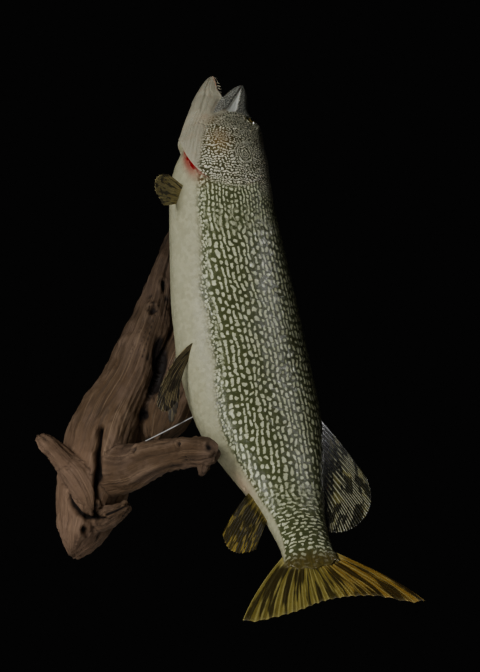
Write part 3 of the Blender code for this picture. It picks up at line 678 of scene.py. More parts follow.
def mesh_from(name, points, faces, places=None):
    """Mesh from equal-sided faces; places holds one texture place for each face corner."""
    mesh = bpy.data.meshes.new(name)
    faces = np.asarray(faces)
    sides = faces.shape[1]
    mesh.vertices.add(len(points))
    mesh.vertices.foreach_set("co", np.asarray(points, np.float32).ravel())
    mesh.loops.add(faces.size)
    mesh.loops.foreach_set("vertex_index", faces.astype(np.int32).ravel())
    mesh.polygons.add(len(faces))
    mesh.polygons.foreach_set("loop_start", np.arange(0, faces.size, sides, dtype=np.int32))
    mesh.update(calc_edges=True)
    if places is not None:
        layer = mesh.uv_layers.new(name="OFBake")
        layer.data.foreach_set("uv", np.asarray(places, np.float32).ravel())
    mesh.validate()
    mesh.shade_smooth()
    return mesh


def remake(mesh, change):
    """Makes one change to the faces of a mesh and turns them all outward."""
    builder = bmesh.new()
    builder.from_mesh(mesh)
    change(builder)
    bmesh.ops.recalc_face_normals(builder, faces=builder.faces)
    builder.to_mesh(mesh)
    builder.free()
    mesh.shade_smooth()
    return mesh


def close_holes(mesh):
    def fill(builder):
        bmesh.ops.holes_fill(builder, edges=[e for e in builder.edges if e.is_boundary], sides=0)

    return remake(mesh, fill)


def drop_empty_faces(mesh):
    """Removes faces that have no area, such as those at a pole."""
    def dissolve(builder):
        bmesh.ops.dissolve_degenerate(builder, dist=1e-7, edges=builder.edges)

    return remake(mesh, dissolve)


def add_triangles(mesh, triangles):
    def fill(builder):
        builder.verts.ensure_lookup_table()
        for corners in triangles:
            builder.faces.new([builder.verts[int(number)] for number in corners])

    return remake(mesh, fill)


def sealed_tube(name, points):
    """Mesh of rings of points, joined around and closed at both ends."""
    rows, around = points.shape[:2]
    work = Patchwork()
    ids = work.add_rings(points)
    along = 0.02 + 0.96 * np.linspace(0, 1, rows)[:, None] + 0 * ids
    across = np.linspace(0.02, 0.98, around + 1) + 0 * ids
    work.weave(ids, np.stack([along, across], -1))
    return close_holes(work.mesh(name))


def vectors(items, field):
    """One vector of each vertex or normal of a mesh."""
    values = np.zeros(len(items) * 3, np.float32)
    items.foreach_get(field, values)
    return values.reshape(-1, 3)


def store(mesh, name, values):
    """Keeps numbers on the vertices: vectors of three, or colours of four."""
    kind, field = ("FLOAT_VECTOR", "vector") if values.shape[1] == 3 else ("FLOAT_COLOR", "color")
    layer = mesh.attributes.new(name, kind, "POINT")
    layer.data.foreach_set(field, np.asarray(values, np.float32).ravel())


def store_markings(mesh, s, a, marks, tones):
    store(mesh, "lie", lie(s, a))
    store(mesh, "marks", marks)
    store(mesh, "tones", tones)


def show(mesh, name, finish, replaces=()):
    piece = bpy.data.objects.new(name, mesh)
    bpy.context.scene.collection.objects.link(piece)
    mesh.materials.clear()
    mesh.materials.append(finish)
    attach(piece, "root")
    if replaces:
        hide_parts(*replaces)


# ---------------------------------------------------------------- skin

TOP_COLUMNS, BELLY_COLUMNS = 150, 78
JAW_RINGS, HEAD_RINGS, GILL_RINGS, NAPE_RINGS, BODY_RINGS, THROAT_RINGS = 48, 54, 60, 25, 148, 15
OUTSIDE, FOLDED, LINING = 0.0, 1.0, 2.0      # the part of the skin that a point belongs to
HEAD_END, HEAD_SHARE = 0.30, 0.46            # the unwrap gives the head more room than the trunk
SKIN_NODES = (
    "head",
    "lower_jaw",
    "maxilla_left",
    "maxilla_right",
    "gill_cover_left",
    "gill_cover_right",
    "trunk_front",
    "trunk_rear",
    "tail_stalk",
)


def tail_notch(s, a):
    """The scaled skin ends in an arc over the tail fin, furthest back at mid height."""
    return (0.013 * np.cos(a) ** 2 + 0.0016 * np.sin(11 * a)) * smoothstep(0.85, TAIL_END, s)


def skin_angles(upper):
    if upper:
        return np.linspace(-SEAM, SEAM, TOP_COLUMNS + 1)
    angles = wrap_angle(np.linspace(SEAM, 2 * math.pi - SEAM, BELLY_COLUMNS + 1))
    angles[[0, -1]] = SEAM + 1e-6, -SEAM - 1e-6      # the lower lip, not the upper one
    return angles


def skin_rows(angles):
    """Stations of every ring behind the mouth, and the heights of those in the gill cover's fold."""
    edge = gill_edge(angles)
    amount = cover_amount(to_degrees(angles))
    slit = slit_share(angles)
    lift = (GILL_LIFT + SLIT_LIFT * slit) * amount
    tuck = 0.003 + 0.012 * slit
    # Rings of the fold, from the cover's edge in under it and back: how far behind the edge, how high
    fold = (
        (0.0007, lift - 0.0004),
        (0.0005, lift - 0.0011),
        (-0.30 * tuck, lift - 0.0012),
        (-0.80 * tuck, lift * 0.5 - 0.0011),
        (-1.00 * tuck, -0.0012 - 0.0014 * slit),
        (-0.70 * tuck, -0.0012 - 0.0027 * slit),
        (-0.20 * tuck, -0.0008 - 0.0027 * slit),
        (0.0015, -0.0004 - 0.0015 * slit),
        (0.0050, -0.0002 - 0.0003 * slit),
    )
    head = np.linspace(MOUTH_CORNER, GILL_FRONT, HEAD_RINGS)[:-1]
    rows = [(np.full_like(angles, s), None) for s in head]
    rows += [(mix(GILL_FRONT, edge, t), None) for t in np.linspace(0, 1, GILL_RINGS)]
    for k, (behind, height) in enumerate(fold):
        rows.append((edge + mix(0.0006 * (k + 1), behind, amount), height * amount))
    start = edge + mix(0.0054, 0.0050, amount)
    rows += [(mix(start, GILL_BACK, t**1.15), None) for t in np.linspace(0, 1, NAPE_RINGS)[1:]]
    body = np.linspace(GILL_BACK, TAIL_END - 0.0006, BODY_RINGS)[1:]
    return rows + [(s - tail_notch(s, angles), None) for s in body]


def ring_points(s, a, fold=None):
    """Posed ring; in the fold the cover's own lift isn't counted, so the ring gives its whole height."""
    if fold is None:
        return surface(s, a)
    raised = fold + relief(s, a) * (1 - 0.5 * cover_amount(to_degrees(a))) - SKIN_DEPTH
    return SPINE.place(section(s, a) + outward(s, a) * raised[:, None])


def skin_params(s, a, part=OUTSIDE):
    return np.stack([s, a, np.full_like(s, part)], -1)


def unwrap_around(degrees):
    """Share of the way around, from the left cheek line under the belly and over the back."""
    return 0.005 + 0.86 * (degrees - SEAM_DEGREES) / 360


def bake_place(s, around):
    """Place on the unwrapped skin."""
    head = s / HEAD_END * HEAD_SHARE
    body = HEAD_SHARE + (s - HEAD_END) / 0.60 * 0.53
    return np.stack([0.004 + 0.99 * np.where(s < HEAD_END, head, body), around], -1)


def weave_outside(work, ids, s, angles, upper):
    turned = np.degrees(angles)
    turned = np.where((turned < 0) | upper, turned + 360, turned)
    work.weave(np.array(ids), bake_place(s, np.broadcast_to(unwrap_around(turned), s.shape)))


def weave_lining(work, ids, upper):
    rows, columns = len(ids), len(ids[0])
    along = np.linspace(0, 1, rows)[:, None] * np.ones(columns)
    across = np.linspace(0, 1, columns) * np.ones((rows, 1))
    lane = np.stack([0.01 + 0.40 * along + (0.0 if upper else 0.45), 0.885 + 0.11 * across], -1)
    work.weave(np.array(ids), lane, flip=True)


def inner_mouth(s, x, upper):
    """Lining of one jaw across its width; x runs from -1 to 1."""
    up_end, low_end = lips(np.array([s]))[2:]
    lip, wide = (up_end if upper else low_end)[0]
    ridges = np.abs(x) < 0.7
    if upper:
        arch = 0.0005 + PALATE_ARCH * smoothstep(0.012, 0.05, s)
        d = lip + arch * (1 - np.abs(x) ** 7)
        d = d + 0.0007 * np.sin(2 * math.pi * s / 0.0055) * ridges * smoothstep(0.02, 0.03, s)
        d = d - 0.0015 * hump(np.abs(x) - 0.62, 0.10) * smoothstep(0.02, 0.04, s)
    else:
        depth = MOUTH_FLOOR * (lip - through(LOWER, 2, s)) * smoothstep(0.006, 0.03, s)
        d = lip - 0.0005 - depth * (1 - np.abs(x) ** 5)
        d = d + 0.0006 * np.sin(2 * math.pi * x * 5) * ridges
    return np.stack([np.full_like(x, s), d, wide * x], -1)


def jaw_rings(work, upper, angles):
    """Rings of one jaw in front of the corner of the mouth: their stations, skin and lining."""
    tip = (SNOUT if upper else JAW)[0][0]
    stations = tip + (MOUTH_CORNER - tip) * np.linspace(0, 1, JAW_RINGS) ** 1.25
    x = np.linspace(-1, 1, len(angles)) * (1 if upper else -1)
    outside, inside = [], []
    for s in stations[:-1]:
        ring_s = np.full_like(angles, s)
        ids = work.add(ring_points(ring_s, angles), skin_params(ring_s, angles))
        lining = SPINE.place(inner_mouth(s, x, upper))
        outside.append(ids)
        inside.append(work.add_between(ids[0], lining, skin_params(ring_s, angles, LINING), ids[-1]))
    return stations, outside, inside


def close_tip(work, upper, angles, first_out, first_in):
    """Front of a jaw: one row between the first ring outside and the first inside."""
    points = np.concatenate(work.points)
    middle = (points[first_out] + points[first_in]) / 2
    nose = SPINE.at(SPINE.forward, np.full(len(middle), 0.01))
    across = np.linspace(-1, 1, len(middle))[:, None]
    middle = middle + nose * 0.0012 * np.sqrt(np.clip(1 - across**2, 0, 1))
    s = np.full(len(middle), 0.0105 if upper else 0.0045)
    return work.add_between(first_out[0], middle, skin_params(s, angles), first_out[-1])


def throat_rings(work, upper, angles, corner, seam):
    """Rings from the corner of the mouth to the end of the throat; seam joins its two halves."""
    lip, lip_wide = lips(np.array([MOUTH_CORNER]))[2][0]
    x = np.linspace(-1, 1, len(angles)) * (1 if upper else -1)
    if upper:
        vault = (0.0005 + PALATE_ARCH) * (1 - np.abs(x) ** 7)
    else:
        vault = -(0.0005 + MOUTH_FLOOR * (lip - through(LOWER, 2, MOUTH_CORNER))) * (1 - np.abs(x) ** 5)
    rows = []
    for k, t in enumerate(np.linspace(0, 1, THROAT_RINGS)):
        s = np.full_like(x, mix(MOUTH_CORNER, THROAT_END, t))
        narrow = max((1 - t**2) ** 0.5, 0.02)
        half = (lip_wide - 0.0035 * min(1.0, 3 * t)) * narrow
        points = SPINE.place(np.stack([s, lip - 0.004 * t + vault * narrow, half * x], -1))
        params = skin_params(s, angles, LINING)
        if k == 0:
            rows.append(work.add_between(corner[0], points, params, corner[-1]))
        elif upper:
            rows.append(work.add(points, params))
            seam.append((rows[-1][-1], rows[-1][0]))
        else:
            left, right = seam[k - 1]
            rows.append(work.add_between(left, points, params, right))
    return rows


def build_skin(finish):
    work = Patchwork()
    angles = {upper: skin_angles(upper) for upper in (True, False)}
    rings = {True: [], False: []}
    stations = {True: [], False: []}
    above, below = skin_rows(angles[True]), skin_rows(angles[False])
    for (s_top, fold_top), (s_low, fold_low) in zip(above, below):
        part = OUTSIDE if fold_top is None else FOLDED
        back = work.add(ring_points(s_top, angles[True], fold_top), skin_params(s_top, angles[True], part))
        low = ring_points(s_low, angles[False], fold_low)
        belly = work.add_between(back[-1], low, skin_params(s_low, angles[False], part), back[0])
        for upper, ids, s in ((True, back, s_top), (False, belly, s_low)):
            rings[upper].append(ids)
            stations[upper].append(s)

    jaws = {upper: jaw_rings(work, upper, angles[upper]) for upper in (True, False)}
    seam = []
    for upper, (jaw_stations, outside, inside) in jaws.items():
        corner = rings[upper][0]
        tip = close_tip(work, upper, angles[upper], outside[0], inside[0])
        s = np.append(jaw_stations[0] - 0.001, jaw_stations)[:, None] * np.ones(len(angles[upper]))
        weave_outside(work, [tip, *outside, corner], s, angles[upper], upper)
        throat = throat_rings(work, upper, angles[upper], corner, seam)
        weave_lining(work, [tip, *inside, *throat], upper)
    for upper in (True, False):
        weave_outside(work, rings[upper], np.array(stations[upper]), angles[upper], upper)

    # The tail's end closes across its own thickness, under the caudal fin
    loop = np.concatenate([rings[True][-1], rings[False][-1][1:-1]])
    tail = np.concatenate(work.points)[loop].mean(0)
    centre = work.add(tail[None], np.array([[TAIL_END, 0.0, 0.0]]))[0]

    mesh = work.mesh("skin")
    s, a, part = np.concatenate(work.params).T
    marks, tones = markings(s, a)
    marks[part == LINING] = (1.0, 0.0, 0.0, 0.0)
    tones[part == LINING, :3] = (0.42, 0.0, 0.0)
    red = np.clip(1.3 * slit_share(a) - 0.1, 0, 1)
    tones[:, 0] = np.where(part == FOLDED, np.maximum(tones[:, 0], red), tones[:, 0])
    store_markings(mesh, s, a, marks, tones)
    add_triangles(mesh, [(first, second, centre) for first, second in zip(loop, np.roll(loop, -1))])
    show(mesh, "skin", finish, SKIN_NODES)


# ---------------------------------------------------------------- scales

# First and last station, spacing of rows and columns, length of a stretch of equal rows, and shape
BODY_SCALE = {"start": 0.180, "end": 0.893, "pitch": 0.0050, "across": 0.0060, "zone": 0.045,
              "overlap": 1.20, "relief": 1.0}
FACE_SCALE = {"start": 0.133, "end": 0.255, "pitch": 0.0030, "across": 0.0034, "zone": 0.030,
              "overlap": 1.10, "relief": 0.40}
RIM = 10
# keeps every coat piece well under the limit of faces
SCALES_IN_PIECE = 4600                       # most scales in one coat piece, so at most 184 000 faces
PATCH = 0.003                                # width of a scale's patch on the unwrapped skin


def angle_at(s, distance):
    """Angle whose distance around from the back is given, at station s; negative on the right."""
    i = np.clip(s / TAIL_END * GIRTH_ROWS, 0, GIRTH_ROWS - 0.001)
    i0 = int(i)
    row = GIRTH[i0] * (1 - (i - i0)) + GIRTH[i0 + 1] * (i - i0)
    half = row[-1]
    distance = np.mod(distance, 2 * half)
    left = distance <= half
    from_back = np.where(left, distance, 2 * half - distance)
    return np.where(left, 1, -1) * np.interp(from_back, row, GIRTH_ANGLES)


def whole_girth(s):
    return 2 * float(girth_at(np.array([s]), np.array([math.pi]))[0])


def scale_roots(kind, random):
    """Station, distance around, width and size of each scale, in offset rows."""
    roots = []
    s, row = kind["start"], 0
    while s < kind["end"]:
        zone = kind["start"] + kind["zone"] * int((s - kind["start"]) / kind["zone"])
        shrink = 1.0 - 0.22 * float(smoothstep(0.66, 0.86, s))
        count = max(6, int(round(whole_girth(zone + kind["zone"] / 2) / (kind["across"] * shrink))))
        width = whole_girth(s) / count
        distance = (np.arange(count) + 0.5 * (row % 2) + random.normal(0, 0.05, count)) * width
        station = s + random.normal(0, 0.06, count) * kind["pitch"]
        roots.append(np.stack([station, distance, np.full(count, width), np.full(count, shrink)], -1))
        s += kind["pitch"] * shrink
        row += 1
    return np.concatenate(roots)


def keep_roots(roots, face):
    """Roots where scales grow, with their angles; the head has some on cheek and gill cover only."""
    angles = np.array([float(angle_at(s, g)) for s, g in roots[:, :2]])
    degrees = to_degrees(angles)
    s = roots[:, 0]
    edge = gill_edge(angles)
    if face:
        d = section(s, angles)[:, 1]
        away_eye = np.hypot(s - EYE_CENTRE[0], d - EYE_CENTRE[1])
        keep = (degrees > 44) & (degrees < 116) & (s < edge - 0.009) & (away_eye > 0.017)
        keep &= (to_line(s, d, PREOPERCLE) > 0.0035) & (to_line(s, d, CHEEK_FOLD) > 0.007)
        keep &= (s < 0.200) | (degrees < 92)
    else:
        start = edge + mix(0.002, 0.0075, cover_amount(degrees))
        keep = s > np.where(degrees > 150, np.maximum(start, 0.205), start)
        keep &= s < scales_end(angles)
    return roots[keep], angles[keep]


def scales_end(angles):
    """Station where the scales end at the tail."""
    return BODY_SCALE["end"] - tail_notch(BODY_SCALE["end"], angles)


def scale_template():
    """Points of one scale (share along, share across, height share, whether it is the crown), and faces."""
    turn = full_turn(RIM)
    along = 0.5 * np.cos(turn)
    across = 0.5 * np.sin(turn) * (1 + 0.10 * np.cos(turn))
    rows = [(x, y, 1.0, 0.0) for x, y in zip(along, across)] + [(0.02, 0.0, 1.0, 1.0)]
    rows += [(x * 0.96, y * 0.96, 0.0, 0.0) for x, y in zip(along, across)] + [(0.0, 0.0, 0.0, 0.0)]
    faces = []
    for k in range(RIM):
        n = (k + 1) % RIM
        faces.append((k, n, RIM))
        faces.append((RIM + 1 + n, RIM + 1 + k, 2 * RIM + 1))
        faces.append((k, RIM + 1 + k, RIM + 1 + n))
        faces.append((k, RIM + 1 + n, n))
    return np.array(rows), np.array(faces)


def keep_rims_sharp(mesh, each):
    """Tops shade flat up to their rims, and so do the undersides."""
    ends = np.empty(2 * len(mesh.edges), np.int32)
    mesh.edges.foreach_get("vertices", ends)
    ends = ends.reshape(-1, 2) % each
    upper = (ends < RIM).all(axis=1)
    lower = ((ends > RIM) & (ends <= 2 * RIM)).all(axis=1)
    sharp = mesh.attributes.new("sharp_edge", "BOOLEAN", "EDGE")
    sharp.data.foreach_set("value", upper | lower)


def lay_scales(kind, face, template, random):
    """Points of all scales of one kind, with their place on the fish, tone and place in the unwrap."""
    roots, angles = keep_roots(scale_roots(kind, random), face)
    count = len(roots)
    s0, width, shrink = roots[:, 0:1], roots[:, 2:3], roots[:, 3:4]
    a0 = angles[:, None]
    along, across, thick, crown = template.T
    long, wide = kind["pitch"] * shrink * 1.80, width * kind["overlap"]
    x, y = along * long, across * wide
    reach = girth_at(s0, a0 + np.where(a0 < 1.5, 0.02, -0.02))
    radius = np.maximum(np.abs(reach - girth_at(s0, a0)) / 0.02, 0.004)
    angle = wrap_angle(a0 + y / radius)
    station = np.clip(s0 + x, 0.1, TAIL_END)
    smooth = 1 - 0.80 * smoothstep(108, 132, to_degrees(a0)) * (1 - 0.55 * smoothstep(0.44, 0.66, s0))
    flat = smooth * kind["relief"]
    tilt = random.normal(1.0, 0.45, (count, 1)) * flat
    roll = random.normal(0.0, 0.042, (count, 1)) * flat
    front, rear = -0.00020 * np.maximum(flat, 0.3), 0.00026 * tilt
    height = 0.0001 + mix(front, rear, (along + 0.5) ** 1.2)
    height = height + 0.00003 * flat * crown - 0.00013 * (1 - thick) + roll * y
    shade = random.uniform(0, 1, (count, 1)) * np.ones_like(station)
    turned = np.degrees(a0)
    turned = np.where(turned < SEAM_DEGREES, turned + 360, turned)
    patch = bake_place(s0, unwrap_around(turned)) + np.stack([x / long, y / wide], -1) * PATCH
    return surface(station, angle, height), station, angle, shade, patch


def build_scales(finish):
    random = np.random.default_rng(4)
    template, faces = scale_template()
    kinds = [lay_scales(kind, kind is FACE_SCALE, template, random) for kind in (BODY_SCALE, FACE_SCALE)]
    number = 0
    for points, station, angle, shade, patch in kinds:
        pieces = max(1, math.ceil(len(points) / SCALES_IN_PIECE))
        for chunk in np.array_split(np.arange(len(points)), pieces):
            number += 1
            first = np.arange(len(chunk))[:, None, None] * len(template)
            index = (faces + first).reshape(-1, 3)
            places = patch[chunk].reshape(-1, 2)[index.ravel()]
            mesh = mesh_from(f"scales_{number}", points[chunk].reshape(-1, 3), index, places)
            keep_rims_sharp(mesh, len(template))
            s, a = station[chunk].ravel(), angle[chunk].ravel()
            marks, tones = markings(s, a)
            tones[:, 3] = shade[chunk].ravel()
            store_markings(mesh, s, a, marks, tones)
            show(mesh, f"scales_{number}", finish)


# ---------------------------------------------------------------- fins

FIN_SUNK = 0.006
FIN_ROWS = 56                                # rows of points from root to edge
RAY_COLUMNS = 9                              # columns of points for each ray
RAYS = {"dorsal_fin": 16, "anal_fin": 13, "caudal_fin": 19}
PAIRED_RAYS = 12
ROOT_THICK, EDGE_THICK = 0.0036, 0.0008


def in_plane(degrees):
    angle = np.radians(degrees)
    return np.stack([np.cos(angle), np.sin(angle), np.zeros_like(angle)], -1)


def ray_profile(u, v, rays):
    """Ridge of the rays, which part in two toward the edge."""
    single = np.abs(np.cos(math.pi * rays * u)) ** 5
    double = np.abs(np.cos(2 * math.pi * rays * u)) ** 4
    fork = smoothstep(0.40, 0.62, v)
    return single * (1 - fork) + double * fork * (1 - 0.35 * v)


def fin_sides(u, v, rays, sway, seed):
    """Half thickness of a fin, and how far it bends out of its plane."""
    joints = 1 - 0.25 * (np.abs(np.sin(math.pi * v * 26)) ** 8) * smoothstep(0.30, 0.45, v)
    ridge = (0.00062 - 0.00030 * v) * ray_profile(u, v, rays) * joints
    half = mix(ROOT_THICK, EDGE_THICK, v**0.55) * 0.30 + ridge
    half = half * np.maximum(np.minimum(1, (1 - v) / 0.03) ** 0.5, 0.25)
    half = half * np.maximum(np.minimum(1, np.minimum(u, 1 - u) / 0.012) ** 0.5, 0.3)
    bend = sway * v * v * np.sin(2 * math.pi * u)
    bend = bend + 0.0008 * v * noise(np.stack([u * 5, v * 3, 0 * v], -1), 1.0, seed + 3)
    return half, bend + 0.0007 * v**2 * np.cos(2 * math.pi * rays * u)


def border(ids):
    """Numbers of the points around a grid, back to the first."""
    ring = np.concatenate([ids[0, :-1], ids[:-1, -1], ids[-1, :0:-1], ids[::-1, 0][:-1]])
    return np.append(ring, ring[0])


def fin_mesh(name, root, direction, length, rays, sway, ragged, seed):
    """Closed thin fan, with raised jointed rays and an uneven free edge."""
    u = np.linspace(0, 1, rays * RAY_COLUMNS + 1)
    ripple = noise(np.stack([u * rays * 0.8, 0 * u, 0 * u], -1), 1.0, seed)
    worn = 0.55 * (1 - ray_profile(u, 1.0, rays)) + 0.9 * np.clip(ripple, 0, 1) ** 2
    reach = length(u) * (1 - ragged * worn) + FIN_SUNK
    track = [root(u) - FIN_SUNK * direction(u, 0.0)]
    for k in range(FIN_ROWS):
        track.append(track[-1] + direction(u, (k + 0.5) / FIN_ROWS) * (reach / FIN_ROWS)[:, None])
    middle = np.array(track)
    ends = root(np.array([0.0, 1.0]))
    spread = unit(np.cross(ends[1] - ends[0], direction(np.array([0.5]), 0.0)[0]))

    uu, vv = np.meshgrid(u, np.linspace(0, 1, FIN_ROWS + 1))
    half, bend = fin_sides(uu, vv, rays, sway, seed)
    work = Patchwork()
    left, right = (work.add(SPINE.place(middle + spread * (x + bend)[..., None])) for x in (half, -half))
    places = np.stack([0.02 + 0.46 * vv, 0.02 + 0.96 * uu], -1)
    work.weave(left, places)
    work.weave(right, places + np.array([0.5, 0.0]), flip=True)
    loop = np.stack([border(right), border(left)])
    along = np.linspace(0.02, 0.98, loop.shape[1]) * np.ones((2, 1))
    across = np.array([[0.985], [0.995]]) * np.ones_like(along)
    work.weave(loop, np.stack([along, across], -1))

    mesh = work.mesh(name)
    fan = np.stack([uu, vv, np.full_like(uu, float(seed))], -1).reshape(-1, 3)
    wide = np.linalg.norm(middle[-1, -1] - middle[-1, 0])
    metric = np.stack([vv * reach, uu * wide, 0 * uu], -1).reshape(-1, 3)
    store(mesh, "fan", np.concatenate([fan, fan]))
    store(mesh, "reach", np.concatenate([metric, metric]))
    return mesh


def dorsal_root(u):
    s = 0.626 + 0.150 * u
    return np.stack([s, through(TRUNK, 1, s), 0 * u], -1)


def dorsal_direction(u, v):
    return in_plane(21 - 30 * u**3 + 24 * (0.5 - v) * (1 - 0.5 * u))


def dorsal_length(u):
    return 0.119 - 0.020 * u - 0.050 * u**3


def anal_root(u):
    s = 0.748 + 0.052 * u
    return np.stack([s, -through(TRUNK, 2, s), 0 * u], -1)


def anal_direction(u, v):
    return in_plane(-37 + 9 * u + 18 * (v - 0.5) * (1 - 0.6 * u))


def anal_length(u):
    return 0.086 + 0.050 * u - 0.081 * u**2


def caudal_root(u):
    lobe = np.abs(2 * u - 1)
    return np.stack([0.893 - 0.022 * lobe**3, 0.040 * (2 * u - 1), 0 * u], -1)


def caudal_direction(u, v):
    return in_plane(signed_power(2 * u - 1, 0.9) * (40 - 20 * v + 5 * (u < 0.5) * (0.5 - u)))


def caudal_length(u):
    lobe = np.abs(2 * u - 1)
    tip = 0.016 * np.clip((2 * u - 1.62) / 0.38, 0, None)
    return 0.077 + 0.066 * lobe**2 - 0.008 * np.clip((lobe - 0.86) / 0.14, 0, None) ** 2 + tip


# Root, direction and length of each middle fin, then its sway and how ragged its edge is
MEDIAN_FINS = (
    ("dorsal_fin", dorsal_root, dorsal_direction, dorsal_length, 0.003, 0.020),
    ("anal_fin", anal_root, anal_direction, anal_length, 0.002, 0.030),
    ("caudal_fin", caudal_root, caudal_direction, caudal_length, 0.004, 0.018),
)

# Front and rear of the root, directions of the first and last ray, length, how much shorter
# the last ray is, and the droop, all in (s, d, l)
PAIRED_FINS = (
    ("pectoral_fin_left", (0.262, -0.0760, 0.0270), (0.286, -0.0840, 0.0155),
     (-0.05, -0.72, 0.69), (0.34, -0.69, 0.63), 0.077, 0.05, (0.0, 0.0, 0.0)),
    ("pectoral_fin_right", (0.266, -0.0600, -0.0410), (0.284, -0.0670, -0.0360),
     (0.94, 0.26, -0.28), (0.95, 0.00, -0.30), 0.094, 0.30, (0.0, 0.0, 0.0)),
    ("pelvic_fin_left", (0.499, -0.1045, 0.0265), (0.523, -0.1110, 0.0130),
     (0.60, -0.79, -0.12), (0.86, -0.50, -0.08), 0.112, 0.10, (0.45, 0.35, 0.0)),
    ("pelvic_fin_right", (0.502, -0.1040, -0.0270), (0.527, -0.1100, -0.0150),
     (0.88, -0.36, -0.30), (0.95, -0.18, -0.20), 0.098, 0.15, (0.2, 0.1, 0.0)),
)
PAIRED_SWAY, PAIRED_RAGGED = 0.002, 0.05


def paired_fin(front, rear, lead, trail, reach, shorter, droop):
    """Functions for the root, direction and length of one paired fin."""
    front, rear, lead, trail, droop = (np.array(v) for v in (front, rear, lead, trail, droop))

    def root(u):
        return front + (rear - front) * u[:, None]

    def direction(u, v):
        fold = u + 0.10 * np.sin(2 * math.pi * u) * (v - 0.55)
        share = (0.5 + (fold - 0.5) * (1.16 - 0.34 * v * v))[:, None]
        return unit(lead * (1 - share) + trail * share + droop * (v - 0.35))

    def length(u):
        return reach * (0.24 + 0.76 * np.sin(math.pi * (0.08 + 0.84 * u)) ** 0.6) * (1 - shorter * u**2)

    return root, direction, length


def build_fins(finishes):
    fins = list(MEDIAN_FINS)
    fins += [(name, *paired_fin(*sizes), PAIRED_SWAY, PAIRED_RAGGED) for name, *sizes in PAIRED_FINS]
    for seed, (name, root, direction, length, sway, ragged) in enumerate(fins, 1):
        rays = RAYS.get(name, PAIRED_RAYS)
        mesh = fin_mesh(name + "_web", root, direction, length, rays, sway, ragged, seed)
        key = name.replace("_left", "").replace("_right", "")
        show(mesh, name + "_web", finishes[key], (name,))


# ---------------------------------------------------------------- eyes, teeth and tongue

def build_eyes(finish):
    """Balls with a raised clear bulge over the iris; each point keeps its place seen from in front."""
    rings, around = 44, 56
    polar = np.linspace(0, math.pi, rings + 1)[:, None]
    turn = (2 * math.pi * np.arange(around + 1) / around)[None, :]
    radius = EYE_RADIUS * (0.985 + 0.035 * smoothstep(0.62, 0.20, polar)) * np.ones_like(turn)
    disc = 0.49 * polar / math.pi
    places = 0.5 + np.stack([disc * np.cos(turn), disc * np.sin(turn)], -1)
    s, d, l = EYE_CENTRE
    for label, sign in (("left", 1.0), ("right", -1.0)):
        centre = SPINE.place(np.array([s, d, sign * l]))
        out = unit(SPINE.place(np.array([s - 0.0012, d + 0.0016, sign * (l + 0.01)])) - centre)
        ahead = SPINE.place(np.array([s - 0.01, d, sign * l])) - centre
        ahead = unit(ahead - out * float(ahead @ out))
        up = np.cross(out, ahead) * sign
        points = centre + radius[..., None] * (
            np.cos(polar)[..., None] * out
            + (np.sin(polar) * np.cos(turn))[..., None] * ahead
            + (np.sin(polar) * np.sin(turn))[..., None] * up
        )
        work = Patchwork()
        ids = work.add(points[1:-1, :-1])
        top, bottom = (np.full((1, around), p) for p in work.add(np.stack([points[0, 0], points[-1, 0]])))
        ids = np.concatenate([top, ids, bottom])
        work.weave(np.concatenate([ids, ids[:, :1]], 1), places, flip=sign > 0)
        mesh = drop_empty_faces(work.mesh(f"eyeball_{label}"))
        gaze = (vectors(mesh.vertices, "co") - centre) @ np.stack([ahead, up, out], -1) / EYE_RADIUS
        store(mesh, "gaze", gaze)
        show(mesh, f"eyeball_{label}", finish, (f"eye_{label}",))


TOOTH_RINGS, TOOTH_AROUND = 8, 10
CANINES = (                                  # station and height of each canine of the lower jaw
    (0.0085, 0.0030),
    (0.0115, 0.0042),
    (0.0160, 0.0046),
    (0.0215, 0.0052),
    (0.0275, 0.0056),
    (0.0350, 0.0078),
    (0.0440, 0.0092),
    (0.0525, 0.0086),
    (0.0610, 0.0070),
)


def tooth(base, point, radius, bend):
    """Curved cone of rings, with a blunt root sunk in the gum."""
    length = np.linalg.norm(point - base)
    axis = (point - base) / length
    side = unit(np.cross(axis, [0.3, 0.2, 0.9]))
    other = np.cross(axis, side)
    turn = full_turn(TOOTH_AROUND)[:, None]
    t = np.linspace(0, 1, TOOTH_RINGS + 1)[:, None, None]
    size = radius * (1 - t) ** 0.8 + 0.00006
    return base + axis * length * t + bend * (t * t) + size * (np.cos(turn) * side + np.sin(turn) * other)


